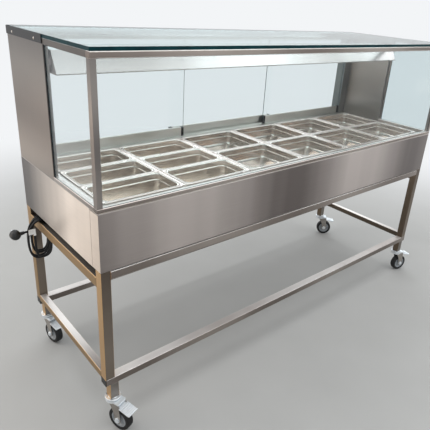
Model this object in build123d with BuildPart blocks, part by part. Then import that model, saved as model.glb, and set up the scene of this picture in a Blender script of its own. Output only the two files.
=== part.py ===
from build123d import *
import math
import os

os.makedirs("parts", exist_ok=True)

# All sizes are in millimetres and heights are above the floor.
# The body stands a little off the origin, because the castors reach out to the front and the right.
body_x = -33
body_y = 33

# Clearances
touch_gap = 0.3
run_gap = 0.05
seam_gap = 0.8

# Pans: they set the length and the depth of the body
column_count = 6
third_columns = 2
pan_width = 325
column_gap = 10
field_depth = 530
end_margin = 45
pan_front_margin = 57
pan_back_margin = 93
pan_sheet = 1
pan_ledge = 25
pan_ledge_step = 4
pan_corner = 24
pan_floor_curve = 12
rim_corner = 12
rim_border = 13
rim_edge = 1.5
rim_rise = 5
pan_gap = 0.8
third_depth = 100
half_depth = 65

# Body outline
column_pitch = pan_width + column_gap
body_length = column_count * column_pitch + 2 * end_margin
body_depth = pan_front_margin + field_depth + pan_back_margin
left = -body_length / 2
right = body_length / 2
front = -body_depth / 2
back = body_depth / 2
pan_middle_y = front + pan_front_margin + field_depth / 2

# Stand: legs, rails laid flat below and on edge at the ends above, sockets for the castors
tube_wall = 1.5
leg_size = 38
rail_size = 30
lower_rail_depth = 38
upper_side_rail_height = 40
side_rail_lift = 21
side_rail_drop = 27
leg_rise = 5
cap_flange = 3
cap_plug = 12
cap_corner = 2
socket_height = 69
socket_size = 36
socket_wall = 2
socket_plate = 6
socket_inset = 35
stem_radius = 8
stem_length = 41

# Castors: wheel, swivel head, fork and brake pedal
wheel_radius = 50
wheel_half_width = 16
tread_radius = 42
tyre_round = 5
centre_half_width = 14
hub_radius = 14
trail = 38
axle_radius = 6
bolt_head_radius = 10
bolt_head_height = 6
castor_rise = 45
head_radius = 31
head_height = 8
head_bevel = 2.5
race_radius = 22
race_height = 1.7
crown_radius = 29
crown_thickness = 9
kingpin_radius = 6
collar_radius = 9.5
collar_height = 4.7
fork_inner = 18.5
fork_sheet = 3
fork_heel = 12
fork_toe = 47
fork_foot = 13
fork_foot_round = 15
hub_play = 1
pedal_pin_radius = 2.5
pedal_pin_ahead = 30
pedal_pin_drop = 7
pedal_eye = 4.6
pedal_half_width = 25
castor_turns = {"front_left": -71, "rear_left": -79, "front_right": -15, "rear_right": -42}

# Cabinet
sheet = 1.5
cabinet_height = 217
front_return = 55
panel_flange = 15
tray_edge = 15

# Heated well, bars and elements
well_ledge = 10
well_drop = 137
well_wall = 1.2
bar_width = 26
cross_bar_width = 22
bar_height = 3
rib_width = 7
rib_height = 3
element_radius = 4
element_lift = 11.8
element_half_width = 110
element_gap = 40
element_end_gap = 45
foot_inset = 100
foot_size = 12

# Glass display case
sill_height = 15.5
opening_height = 459
top_rail_height = 20
post_width = 20
post_depth = 25
frame_wall = 1.5
pillar_thickness = 22
pillar_depth = 338
pillar_wall = 1.2
jamb_width = 53
jamb_depth = 64
rear_rail_height = 27
top_glass_thickness = 12
glass_thickness = 6
glass_inset = 2
seal_width = 12
seal_thickness = 8
seal_inset = 0.5
bracket_thickness = 3
bracket_height = 29
bracket_edge = 1
bracket_screw_lift = 11
bracket_screw_inset = 64
screw_radius = 3
screw_head_radius = 6.5
screw_head_height = 2.5
screw_head_round = 1.5

# Lamp hood over the middle of the pans, in front of the pillars by the overhang
hood_end_gap = 4
hood_overhang = 42
hood_depth = 152
hood_drop = 36
hood_height = 78
hood_slant = 36
hood_sheet = 1.2
hood_lip = 10
hood_block_depth = 50
hood_block_height = 24
lamp_count = 3
lamp_gap = 150
lamp_radius = 5.5
lamp_drop = 43
holder_size = 20
holder_length = 22
hanger_width = 14

# Sliding doors on two tracks
inner_track_inset = 50
outer_track_inset = 28
track_inset = 14
track_sheet = 1.5
guide_rib = 3
guide_rib_height = 8
guide_height = 12
guide_slot = 8
guide_slot_depth = 10
groove_play = 1
door_overlap = 68.5
door_end_gap = 1
door_rail_height = 44
door_rail_thickness = 14
door_cap_length = 16
door_pane = 5
door_pane_lift = 15.7
door_pane_entry = 8

# Controls on the back panel
knob_inset = 350
switch_inset = 260
control_drop = 111
knob_radius = 22
knob_length = 20
knob_skirt = 5
knob_mark_width = 2.5
knob_mark_length = 5
knob_mark_depth = 1.5
shaft_radius = 3
shaft_length = 15
thermostat_width = 44
thermostat_height = 40
thermostat_depth = 36
switch_width = 29
switch_height = 23
switch_depth = 26
switch_border = 2.5
switch_face = 2
rocker_width = 21
rocker_slot = 1
rocker_pin_radius = 1.5
rocker_pin_inset = 4
rocker_rest = -9

# Heights
castor_top = 2 * wheel_radius + castor_rise
head_base = castor_top - head_height
race_base = head_base - race_height
crown_top = race_base - touch_gap
crown_base = crown_top - crown_thickness
collar_base = crown_base - touch_gap - collar_height
pedal_pin_height = crown_base - pedal_pin_drop
socket_top = castor_top + socket_height
lower_rail_top = socket_top + rail_size
lower_side_rail_top = lower_rail_top + side_rail_lift
long_rail_top = 704
side_rail_top = long_rail_top - side_rail_drop
cabinet_floor = long_rail_top + leg_rise
cabinet_top = cabinet_floor + cabinet_height
flange_top = cabinet_top + sheet
pan_rim_top = flange_top + rim_rise
well_floor = cabinet_top - well_drop
control_height = cabinet_top - control_drop
sill_top = flange_top + sill_height
top_rail_base = sill_top + opening_height
top_rail_top = top_rail_base + top_rail_height
door_head = top_rail_top - rear_rail_height
case_top = top_rail_top + top_glass_thickness
hood_top = top_rail_top - hood_drop
hood_base = hood_top - hood_height

# Mains lead, wound over the left upper side rail
lead_diameter = 9
coil_pitch = 11.5
coil_inset = 90
coil_start_y = back - coil_inset
coil_rise = 11
coil_inner = (30, 36, 31, 38, 33)
coil_outer = (44, 55, 47, 58, 40)
coil_bottoms = (520, 506, 526, 510, 516)
coil_lean = 0.03
coil_middle = 600
coil_tail = 12
gland_offset = 18
gland_radius = 13
gland_thread = 8
gland_nut = 6
relief_length = 14
plug_radius = 20
plug_depth = 32
pin_radius = 2.4
pin_length = 19
pin_spacing = 19
tag_width = 28
tag_height = 24
tag_sheet = 0.8


def level(height):
    return Plane(origin=(body_x, body_y, height))


def facing(y):
    return Plane(origin=(body_x, body_y + y, 0), x_dir=(1, 0, 0), z_dir=(0, -1, 0))


def endwise(x):
    return Plane(origin=(body_x + x, body_y, 0), x_dir=(0, 1, 0), z_dir=(1, 0, 0))


# Stand: four legs, eight rails and four castor sockets, welded tubes kept as separate solids
leg_x = right - leg_size / 2
leg_y = back - leg_size / 2
rail_x = right - rail_size / 2
upper_rail_y = back - rail_size / 2
lower_rail_y = back - lower_rail_depth / 2
rail_bore = rail_size - 2 * tube_wall
leg_bore = leg_size - 2 * tube_wall
with BuildPart() as legs:
    with BuildSketch(level(lower_rail_top)):
        with GridLocations(2 * leg_x, 2 * leg_y, 2, 2):
            Rectangle(leg_size, leg_size)
            Rectangle(leg_bore, leg_bore, mode=Mode.SUBTRACT)
    extrude(amount=cabinet_floor - lower_rail_top)

lower_rail_middle = lower_rail_top - rail_size / 2
with BuildPart() as lower_long_rails:
    with BuildSketch(endwise(left + cap_flange)):
        with Locations((-lower_rail_y, lower_rail_middle), (lower_rail_y, lower_rail_middle)):
            Rectangle(lower_rail_depth, rail_size)
            Rectangle(lower_rail_depth - 2 * tube_wall, rail_bore, mode=Mode.SUBTRACT)
    extrude(amount=body_length - 2 * cap_flange)

upper_rail_middle = long_rail_top - rail_size / 2
with BuildPart() as upper_long_rails:
    with BuildSketch(endwise(left + leg_size)):
        with Locations((-upper_rail_y, upper_rail_middle), (upper_rail_y, upper_rail_middle)):
            Rectangle(rail_size, rail_size)
            Rectangle(rail_bore, rail_bore, mode=Mode.SUBTRACT)
    extrude(amount=body_length - 2 * leg_size)

side_rail_end = max(leg_size, lower_rail_depth)
side_rail_sizes = ((lower_side_rail_top, rail_size), (side_rail_top, upper_side_rail_height))
with BuildPart() as side_rails:
    with BuildSketch(facing(front + side_rail_end)):
        for top, height in side_rail_sizes:
            with Locations((-rail_x, top - height / 2), (rail_x, top - height / 2)):
                Rectangle(rail_size, height)
                Rectangle(rail_bore, height - 2 * tube_wall, mode=Mode.SUBTRACT)
    extrude(amount=-(body_depth - 2 * side_rail_end))

castor_x = right - socket_inset
castor_y = back - socket_size / 2
socket_bore = socket_size - 2 * socket_wall
with BuildPart() as sockets:
    with BuildSketch(level(castor_top)):
        with GridLocations(2 * castor_x, 2 * castor_y, 2, 2):
            Rectangle(socket_size, socket_size)
            Circle(stem_radius + 2 * run_gap, mode=Mode.SUBTRACT)
    extrude(amount=socket_plate)
    with BuildSketch(level(castor_top + socket_plate)):
        with GridLocations(2 * castor_x, 2 * castor_y, 2, 2):
            Rectangle(socket_size, socket_size)
            Rectangle(socket_bore, socket_bore, mode=Mode.SUBTRACT)
    extrude(amount=socket_height - socket_plate)

stand_solids = legs.part.solids() + lower_long_rails.part.solids() + upper_long_rails.part.solids()
stand_frame = Compound(stand_solids + side_rails.part.solids() + sockets.part.solids())
stand_frame.label = "stand_frame"
export_step(stand_frame, "parts/stand_frame.step")

# Black caps that close the ends of the two lower long rails
with BuildPart() as rail_end_caps:
    for end in (-1, 1):
        with BuildSketch(endwise(end * right)):
            with Locations((-lower_rail_y, lower_rail_middle), (lower_rail_y, lower_rail_middle)):
                RectangleRounded(lower_rail_depth, rail_size, cap_corner)
        extrude(amount=-end * cap_flange)
        with BuildSketch(endwise(end * (right - cap_flange))):
            with Locations((-lower_rail_y, lower_rail_middle), (lower_rail_y, lower_rail_middle)):
                Rectangle(lower_rail_depth - 2 * tube_wall - 2 * touch_gap, rail_bore - 2 * touch_gap)
        extrude(amount=-end * cap_plug)
rail_end_caps.part.label = "rail_end_caps"
export_step(rail_end_caps.part, "parts/rail_end_caps.step")

# Swivel heads that stay still: stem in the socket, dish, ball race, kingpin and collar
with BuildPart() as castor_heads:
    with BuildSketch(level(castor_top)):
        with GridLocations(2 * castor_x, 2 * castor_y, 2, 2):
            Circle(stem_radius)
    extrude(amount=stem_length)
    with BuildSketch(level(head_base)):
        with GridLocations(2 * castor_x, 2 * castor_y, 2, 2):
            Circle(head_radius)
    extrude(amount=head_height)
    with BuildSketch(level(race_base)):
        with GridLocations(2 * castor_x, 2 * castor_y, 2, 2):
            Circle(race_radius)
    extrude(amount=race_height)
    with BuildSketch(level(collar_base)):
        with GridLocations(2 * castor_x, 2 * castor_y, 2, 2):
            Circle(kingpin_radius)
    extrude(amount=race_base - collar_base)
    with BuildSketch(level(collar_base)):
        with GridLocations(2 * castor_x, 2 * castor_y, 2, 2):
            Circle(collar_radius)
    extrude(amount=collar_height)
    chamfer(castor_heads.edges().filter_by(GeomType.CIRCLE).group_by(SortBy.RADIUS)[-1], head_bevel)
castor_heads.part.label = "castor_heads"
export_step(castor_heads.part, "parts/castor_heads.step")

# Castors: each fork swivels on its kingpin, each wheel runs on its axle, each pedal tips on its pin
fork_outer = fork_inner + fork_sheet
corner_signs = {"front_left": (-1, -1), "rear_left": (-1, 1), "front_right": (1, -1), "rear_right": (1, 1)}
for corner, (side_x, side_y) in corner_signs.items():
    turn = math.radians(castor_turns[corner])
    ahead = Vector(math.cos(turn), math.sin(turn), 0)
    across = Vector(math.sin(turn), -math.cos(turn), 0)
    spot = Vector(body_x + side_x * castor_x, body_y + side_y * castor_y, 0)
    castor_level = Plane(origin=spot, x_dir=ahead, z_dir=(0, 0, 1))
    castor_side = Plane(origin=spot, x_dir=ahead, z_dir=across)

    with BuildPart() as fork:
        with BuildSketch(castor_level.offset(crown_base)):
            Circle(crown_radius)
            with Locations((fork_toe / 2, 0)):
                Rectangle(fork_toe, 2 * fork_outer)
            Circle(kingpin_radius + run_gap, mode=Mode.SUBTRACT)
        extrude(amount=crown_thickness)
        for offset in (fork_inner, -fork_outer):
            with BuildSketch(castor_side.offset(offset)):
                with BuildLine():
                    Polyline((-fork_heel, crown_base), (fork_toe, crown_base),
                             (trail + fork_foot, wheel_radius), (trail - fork_foot, wheel_radius), close=True)
                make_face()
                with Locations((trail, wheel_radius)):
                    Circle(fork_foot_round)
                    Circle(axle_radius + run_gap, mode=Mode.SUBTRACT)
                with Locations((pedal_pin_ahead, pedal_pin_height)):
                    Circle(pedal_pin_radius + run_gap, mode=Mode.SUBTRACT)
            extrude(amount=fork_sheet)

    with BuildPart() as axle:
        with BuildSketch(castor_side.offset(-fork_outer)):
            with Locations((trail, wheel_radius)):
                Circle(axle_radius)
        extrude(amount=2 * fork_outer)
        with BuildSketch(castor_side.offset(fork_outer)):
            with Locations((trail, wheel_radius)):
                RegularPolygon(bolt_head_radius, 6)
        extrude(amount=bolt_head_height)
        with BuildSketch(castor_side.offset(-fork_outer)):
            with Locations((trail, wheel_radius)):
                RegularPolygon(bolt_head_radius, 6)
        extrude(amount=-bolt_head_height)

    fork_group = Compound(fork.part.solids() + axle.part.solids())
    fork_group.label = corner + "_fork"
    export_step(fork_group, "parts/" + corner + "_fork.step")

    with BuildPart() as wheel_centre:
        with BuildSketch(castor_side.offset(-centre_half_width)):
            with Locations((trail, wheel_radius)):
                Circle(tread_radius)
                Circle(axle_radius + run_gap, mode=Mode.SUBTRACT)
        extrude(amount=2 * centre_half_width)
        with BuildSketch(castor_side.offset(-fork_inner + hub_play)):
            with Locations((trail, wheel_radius)):
                Circle(hub_radius)
                Circle(axle_radius + run_gap, mode=Mode.SUBTRACT)
        extrude(amount=2 * (fork_inner - hub_play))

    with BuildPart() as tyre:
        with BuildSketch(castor_side.offset(-wheel_half_width)):
            with Locations((trail, wheel_radius)):
                Circle(wheel_radius)
                Circle(tread_radius, mode=Mode.SUBTRACT)
        extrude(amount=2 * wheel_half_width)
        fillet(tyre.edges().filter_by(GeomType.CIRCLE).group_by(SortBy.RADIUS)[-1], tyre_round)

    wheel_group = Compound(wheel_centre.part.solids() + tyre.part.solids())
    wheel_group.label = corner + "_wheel"
    export_step(wheel_group, "parts/" + corner + "_wheel.step")

    # The arms hang on the pin inside the fork, and the wider plate slopes down ahead of it
    arm_half_width = fork_inner - hub_play
    pin_spot = castor_side.from_local_coords((pedal_pin_ahead, pedal_pin_height, 0))
    pin_level = castor_side.shift_origin(pin_spot)
    with BuildPart() as pedal:
        with BuildSketch(pin_level.offset(-arm_half_width)):
            Circle(pedal_eye)
            with BuildLine():
                Polyline((0, 4.4), (23, -0.8), (23, -4.8), (0, -3), close=True)
            make_face()
        extrude(amount=2 * arm_half_width)
        with BuildSketch(pin_level.offset(-fork_outer + 2 * run_gap)):
            Circle(pedal_pin_radius)
        extrude(amount=2 * (fork_outer - 2 * run_gap))
        with BuildSketch(pin_level.offset(-pedal_half_width)):
            with BuildLine():
                Polyline((21, -0.3), (65, -10.3), (72, -8.5), (73, -12), (65, -14.3), (21, -4.3), close=True)
            make_face()
        extrude(amount=2 * pedal_half_width)
    pedal.part.label = corner + "_pedal"
    export_step(pedal.part, "parts/" + corner + "_pedal.step")

# Cabinet floor: a tray with turned-up edges that the panels are fixed to
gland_x = -rail_x + coil_inner[0] + gland_offset
tray_length = body_length - 2 * sheet
tray_depth = body_depth - 2 * sheet
with BuildPart() as base_tray:
    with BuildSketch(level(cabinet_floor)):
        Rectangle(tray_length, tray_depth)
    extrude(amount=tray_edge)
    with BuildSketch(level(cabinet_floor + sheet)):
        Rectangle(tray_length - 2 * sheet, tray_depth - 2 * sheet)
    extrude(amount=tray_edge, mode=Mode.SUBTRACT)
    with BuildSketch(level(cabinet_floor)):
        with Locations((gland_x, coil_start_y)):
            Circle(gland_thread + 2 * run_gap)
    extrude(amount=sheet, mode=Mode.SUBTRACT)
base_tray.part.label = "base_tray"
export_step(base_tray.part, "parts/base_tray.step")

# Front panel, folded round both corners, with a flange under the well
with BuildPart() as front_panel:
    with BuildSketch(level(cabinet_floor)):
        with Locations((0, front + front_return / 2)):
            Rectangle(body_length, front_return)
        with Locations((0, front + sheet + front_return / 2)):
            Rectangle(tray_length, front_return, mode=Mode.SUBTRACT)
    extrude(amount=cabinet_height)
    with BuildSketch(level(cabinet_top)):
        with Locations((0, front + sheet + panel_flange / 2)):
            Rectangle(tray_length, panel_flange)
    extrude(amount=-sheet)
front_panel.part.label = "front_panel"
export_step(front_panel.part, "parts/front_panel.step")

side_panel_front = front + front_return + seam_gap
side_panel_back = back - sheet - seam_gap
with BuildPart() as side_panels:
    with BuildSketch(level(cabinet_floor)):
        with Locations((0, (side_panel_front + side_panel_back) / 2)):
            with GridLocations(body_length - sheet, 1, 2, 1):
                Rectangle(sheet, side_panel_back - side_panel_front)
    extrude(amount=cabinet_height)
side_panels.part.label = "side_panels"
export_step(side_panels.part, "parts/side_panels.step")

knob_x = right - knob_inset
switch_x = right - switch_inset
with BuildPart() as rear_panel:
    with BuildSketch(facing(back - sheet)):
        with Locations((0, cabinet_floor + cabinet_height / 2)):
            Rectangle(body_length, cabinet_height)
        with Locations((knob_x, control_height)):
            Circle(shaft_radius + 2 * touch_gap, mode=Mode.SUBTRACT)
        with Locations((switch_x, control_height)):
            Rectangle(switch_width, switch_height, mode=Mode.SUBTRACT)
    extrude(amount=-sheet)
rear_panel.part.label = "rear_panel"
export_step(rear_panel.part, "parts/rear_panel.step")

# Heated well: one pressed tank with a flange over the whole cabinet
well_length = column_count * column_pitch - 2 * well_ledge
well_depth = field_depth - 2 * well_ledge
with BuildPart() as well_tank:
    with BuildSketch(level(cabinet_top)):
        Rectangle(body_length, body_depth)
    extrude(amount=sheet)
    with BuildSketch(level(well_floor)):
        with Locations((0, pan_middle_y)):
            Rectangle(well_length + 2 * well_wall, well_depth + 2 * well_wall)
    extrude(amount=well_drop)
    with BuildSketch(level(well_floor + well_wall)):
        with Locations((0, pan_middle_y)):
            Rectangle(well_length, well_depth)
    extrude(amount=flange_top - well_floor, mode=Mode.SUBTRACT)
well_tank.part.label = "well_tank"
export_step(well_tank.part, "parts/well_tank.step")

# Loose bars that carry the pan rims: five across the well and short ones between the pans of a column
column_middles = [(n - (column_count - 1) / 2) * column_pitch for n in range(column_count)]
third_pitch = field_depth / 3
with BuildPart() as long_bars:
    with BuildSketch(level(flange_top)):
        with Locations((0, pan_middle_y)):
            with GridLocations(column_pitch, 1, column_count - 1, 1):
                Rectangle(bar_width, well_depth)
    extrude(amount=-bar_height)
    with BuildSketch(level(flange_top)):
        with Locations((0, pan_middle_y)):
            with GridLocations(column_pitch, 1, column_count - 1, 1):
                Rectangle(rib_width, field_depth)
    extrude(amount=rib_height)

with BuildPart() as cross_bars:
    with BuildSketch(level(flange_top)):
        for n, middle in enumerate(column_middles):
            start = -well_length / 2 if n == 0 else middle - column_pitch / 2 + bar_width / 2
            end = well_length / 2 if n == column_count - 1 else middle + column_pitch / 2 - bar_width / 2
            steps = (-third_pitch / 2, third_pitch / 2) if n < third_columns else (0,)
            for step in steps:
                with Locations(((start + end) / 2, pan_middle_y + step)):
                    Rectangle(end - start, cross_bar_width)
    extrude(amount=-bar_height)
divider_bars = Compound(long_bars.part.solids() + cross_bars.part.solids())
divider_bars.label = "divider_bars"
export_step(divider_bars, "parts/divider_bars.step")

# Heating elements: one hairpin in each half of the tank, standing on small feet
tank_floor = well_floor + well_wall
element_height = tank_floor + element_lift
element_far = well_length / 2 - element_end_gap - element_half_width
foot_pitch = element_far - element_gap - 2 * foot_inset
with BuildPart() as heating_elements:
    for side in (-1, 1):
        near = Vector(body_x + side * element_gap, body_y + pan_middle_y, element_height)
        far = Vector(body_x + side * element_far, body_y + pan_middle_y, element_height)
        arm = Vector(0, element_half_width, 0)
        bow = Vector(side * element_half_width, 0, 0)
        with BuildLine():
            Line(near - arm, far - arm)
            ThreePointArc(far - arm, far + bow, far + arm)
            Line(far + arm, near + arm)
        with BuildSketch(Plane(origin=near - arm, z_dir=(side, 0, 0))):
            Circle(element_radius)
        sweep()
        with BuildSketch(level(tank_floor)):
            with Locations((side * (element_gap + element_far) / 2, pan_middle_y)):
                with GridLocations(foot_pitch, 2 * element_half_width, 2, 2):
                    Rectangle(foot_size, foot_size)
        extrude(amount=element_lift)
heating_elements.part.label = "heating_elements"
export_step(heating_elements.part, "parts/heating_elements.step")

# Pans that lift straight out: three small deep ones in the first two columns, two in each of the rest
pan_places = []
for n, middle in enumerate(column_middles):
    row_count = 3 if n < third_columns else 2
    row_pitch = field_depth / row_count
    for row in range(row_count):
        pan_y = pan_middle_y + (row - (row_count - 1) / 2) * row_pitch
        pan_depth = third_depth if n < third_columns else half_depth
        pan_places.append((n + 1, row + 1, middle, pan_y, row_pitch, pan_depth))

for column, row, pan_x, pan_y, row_pitch, depth in pan_places:
    rim_depth = row_pitch - pan_gap
    body_w = pan_width - 2 * rim_border
    body_d = rim_depth - 2 * rim_border
    step = 2 * pan_ledge_step
    skin = 2 * pan_sheet
    lower_corner = pan_corner - pan_ledge_step
    with BuildPart() as cavity:
        with BuildSketch(level(pan_rim_top)):
            with Locations((pan_x, pan_y)):
                RectangleRounded(body_w - skin, body_d - skin, pan_corner - pan_sheet)
        extrude(amount=-(pan_ledge - pan_sheet))
        with BuildSketch(level(pan_rim_top - pan_ledge + pan_sheet)):
            with Locations((pan_x, pan_y)):
                RectangleRounded(body_w - step - skin, body_d - step - skin, lower_corner - pan_sheet)
        extrude(amount=-(depth - pan_ledge))
        fillet(cavity.edges().group_by(Axis.Z)[0], pan_floor_curve - pan_sheet)
    with BuildPart() as pan:
        with BuildSketch(level(pan_rim_top)):
            with Locations((pan_x, pan_y)):
                RectangleRounded(pan_width, rim_depth, rim_corner)
        extrude(amount=-pan_sheet)
        with BuildSketch(level(pan_rim_top)):
            with Locations((pan_x, pan_y)):
                RectangleRounded(pan_width, rim_depth, rim_corner)
                inner_width = pan_width - 2 * rim_edge
                inner_depth = rim_depth - 2 * rim_edge
                RectangleRounded(inner_width, inner_depth, rim_corner - rim_edge, mode=Mode.SUBTRACT)
        extrude(amount=-(rim_rise - touch_gap))
        with BuildSketch(level(pan_rim_top)):
            with Locations((pan_x, pan_y)):
                RectangleRounded(body_w, body_d, pan_corner)
        extrude(amount=-pan_ledge)
        with BuildSketch(level(pan_rim_top - pan_ledge)):
            with Locations((pan_x, pan_y)):
                RectangleRounded(body_w - step, body_d - step, lower_corner)
        extrude(amount=-(depth - pan_ledge))
        fillet(pan.edges().group_by(Axis.Z)[0], pan_floor_curve)
        add(cavity.part, mode=Mode.SUBTRACT)
    pan_name = "pan_" + str(column) + "_" + str(row)
    pan.part.label = pan_name
    export_step(pan.part, "parts/" + pan_name + ".step")

# Frame of the glass case: sill, two front posts and top rails
pillar_front = back - pillar_depth
jamb_front = back - jamb_depth
frame_y = front + post_depth / 2
side_bar_depth = pillar_front - front - post_depth
with BuildPart() as frame_long:
    with BuildSketch(endwise(left)):
        for low, high in ((flange_top, sill_top), (top_rail_base, top_rail_top)):
            with Locations((frame_y, (low + high) / 2)):
                Rectangle(post_depth, high - low)
                Rectangle(post_depth - 2 * frame_wall, high - low - 2 * frame_wall, mode=Mode.SUBTRACT)
    extrude(amount=body_length)
    with BuildSketch(endwise(left + pillar_thickness)):
        with Locations(((jamb_front + back) / 2, (door_head + top_rail_top) / 2)):
            Rectangle(jamb_depth, rear_rail_height)
            Rectangle(jamb_depth - 2 * frame_wall, rear_rail_height - 2 * frame_wall, mode=Mode.SUBTRACT)
    extrude(amount=body_length - 2 * pillar_thickness)

with BuildPart() as frame_sides:
    with BuildSketch(facing(front + post_depth)):
        for low, high in ((flange_top, sill_top), (top_rail_base, top_rail_top)):
            with Locations((0, (low + high) / 2)):
                with GridLocations(body_length - post_width, 1, 2, 1):
                    Rectangle(post_width, high - low)
                    Rectangle(post_width - 2 * frame_wall, high - low - 2 * frame_wall, mode=Mode.SUBTRACT)
    extrude(amount=-side_bar_depth)

with BuildPart() as frame_posts:
    with BuildSketch(level(sill_top)):
        with Locations((0, frame_y)):
            with GridLocations(body_length - post_width, 1, 2, 1):
                Rectangle(post_width, post_depth)
                Rectangle(post_width - 2 * frame_wall, post_depth - 2 * frame_wall, mode=Mode.SUBTRACT)
    extrude(amount=opening_height)
case_frame = Compound(frame_long.part.solids() + frame_sides.part.solids() + frame_posts.part.solids())
case_frame.label = "case_frame"
export_step(case_frame, "parts/case_frame.step")

# Rear pillars: a flat hollow box on each end over half the depth, and the door jamb beside it
jamb_inner = right - pillar_thickness - jamb_width
jamb_middle = jamb_inner + jamb_width / 2
pillar_bore = pillar_thickness - 2 * pillar_wall
with BuildPart() as pillar_boxes:
    with BuildSketch(level(flange_top)):
        with Locations((0, (pillar_front + back) / 2)):
            with GridLocations(body_length - pillar_thickness, 1, 2, 1):
                Rectangle(pillar_thickness, pillar_depth)
                Rectangle(pillar_bore, pillar_depth - 2 * pillar_wall, mode=Mode.SUBTRACT)
    extrude(amount=top_rail_top - flange_top)

with BuildPart() as jambs:
    with BuildSketch(level(flange_top)):
        with Locations((0, (jamb_front + back) / 2)):
            with GridLocations(2 * jamb_middle, 1, 2, 1):
                Rectangle(jamb_width, jamb_depth)
                Rectangle(jamb_width - 2 * frame_wall, jamb_depth - 2 * frame_wall, mode=Mode.SUBTRACT)
    extrude(amount=door_head - flange_top)
rear_pillars = Compound(pillar_boxes.part.solids() + jambs.part.solids())
rear_pillars.label = "rear_pillars"
export_step(rear_pillars, "parts/rear_pillars.step")

# Glass: the top plate lies on the frame, front and end panes stand inside it
with BuildPart() as top_glass:
    with BuildSketch(level(top_rail_top)):
        Rectangle(body_length, body_depth)
    extrude(amount=top_glass_thickness)
top_glass.part.label = "top_glass"
export_step(top_glass.part, "parts/top_glass.step")

pane_base = sill_top + touch_gap
pane_height = opening_height - 2 * touch_gap
side_pane_front = front + post_depth + touch_gap
side_pane_back = pillar_front - seal_width - touch_gap
with BuildPart() as case_glass:
    with BuildSketch(level(pane_base)):
        with Locations((0, front + glass_inset + glass_thickness / 2)):
            Rectangle(body_length - 2 * post_width - 2 * touch_gap, glass_thickness)
        with Locations((0, (side_pane_front + side_pane_back) / 2)):
            with GridLocations(body_length - 2 * glass_inset - glass_thickness, 1, 2, 1):
                Rectangle(glass_thickness, side_pane_back - side_pane_front)
    extrude(amount=pane_height)
case_glass.part.label = "case_glass"
export_step(case_glass.part, "parts/case_glass.step")

with BuildPart() as glass_seals:
    with BuildSketch(level(pane_base)):
        with Locations((0, pillar_front - seal_width / 2)):
            with GridLocations(body_length - seal_thickness - 2 * seal_inset, 1, 2, 1):
                Rectangle(seal_thickness, seal_width)
    extrude(amount=pane_height)
glass_seals.part.label = "glass_seals"
export_step(glass_seals.part, "parts/glass_seals.step")

# Dark brackets that clamp the top plate to the pillars, with two screws each
bracket_base = case_top - bracket_edge - bracket_height
bracket_screw_height = bracket_base + bracket_screw_lift
bracket_screw_y = (pillar_front + bracket_screw_inset, back - bracket_screw_inset)
with BuildPart() as end_brackets:
    for end in (-1, 1):
        with BuildSketch(endwise(end * right)):
            with Locations(((pillar_front + back) / 2, bracket_base + bracket_height / 2)):
                Rectangle(pillar_depth, bracket_height)
            for y in bracket_screw_y:
                with Locations((y, bracket_screw_height)):
                    Circle(screw_radius + 2 * run_gap, mode=Mode.SUBTRACT)
        extrude(amount=end * bracket_thickness)
end_brackets.part.label = "end_brackets"
export_step(end_brackets.part, "parts/end_brackets.step")

with BuildPart() as bracket_screws:
    for end in (-1, 1):
        for y in bracket_screw_y:
            with BuildSketch(endwise(end * right)):
                with Locations((y, bracket_screw_height)):
                    Circle(screw_radius)
            extrude(amount=end * bracket_thickness)
            with BuildSketch(endwise(end * (right + bracket_thickness))):
                with Locations((y, bracket_screw_height)):
                    Circle(screw_head_radius)
            extrude(amount=end * screw_head_height)
    head_faces = bracket_screws.faces().sort_by(Axis.X)
    fillet(head_faces[:2].edges() + head_faces[-2:].edges(), screw_head_round)
bracket_screws.part.label = "bracket_screws"
export_step(bracket_screws.part, "parts/bracket_screws.step")

# Lamp hood: a folded trough, open below, carried on a block against each pillar
hood_half_length = right - pillar_thickness - hood_end_gap
hood_front = pillar_front - hood_overhang
hood_back = hood_front + hood_depth
hood_middle = (hood_front + hood_back) / 2
slant_run = hood_sheet / math.cos(math.atan2(hood_slant, hood_height))
with BuildPart() as lamp_hood:
    with BuildSketch(endwise(-hood_half_length)):
        with BuildLine():
            Polyline((hood_front, hood_base), (hood_front + hood_slant, hood_top),
                     (hood_back - hood_slant, hood_top), (hood_back, hood_base), close=True)
        make_face()
    extrude(amount=2 * hood_half_length)
    with BuildSketch(endwise(-hood_half_length + hood_sheet)):
        rise = hood_sheet * hood_slant / hood_height
        with BuildLine():
            Polyline((hood_front + slant_run + rise, hood_base + hood_sheet),
                     (hood_front + hood_slant + slant_run - rise, hood_top - hood_sheet),
                     (hood_back - hood_slant - slant_run + rise, hood_top - hood_sheet),
                     (hood_back - slant_run - rise, hood_base + hood_sheet), close=True)
        make_face()
    extrude(amount=2 * (hood_half_length - hood_sheet), mode=Mode.SUBTRACT)
    with BuildSketch(level(hood_base)):
        with Locations((0, hood_middle)):
            Rectangle(2 * (hood_half_length - hood_lip), hood_depth - 2 * hood_lip)
    extrude(amount=hood_sheet, mode=Mode.SUBTRACT)
    for end in (-1, 1):
        with BuildSketch(endwise(end * hood_half_length)):
            with Locations((hood_middle, hood_base + hood_height / 2)):
                Rectangle(hood_block_depth, hood_block_height)
        extrude(amount=end * hood_end_gap)
lamp_hood.part.label = "lamp_hood"
export_step(lamp_hood.part, "parts/lamp_hood.step")

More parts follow.
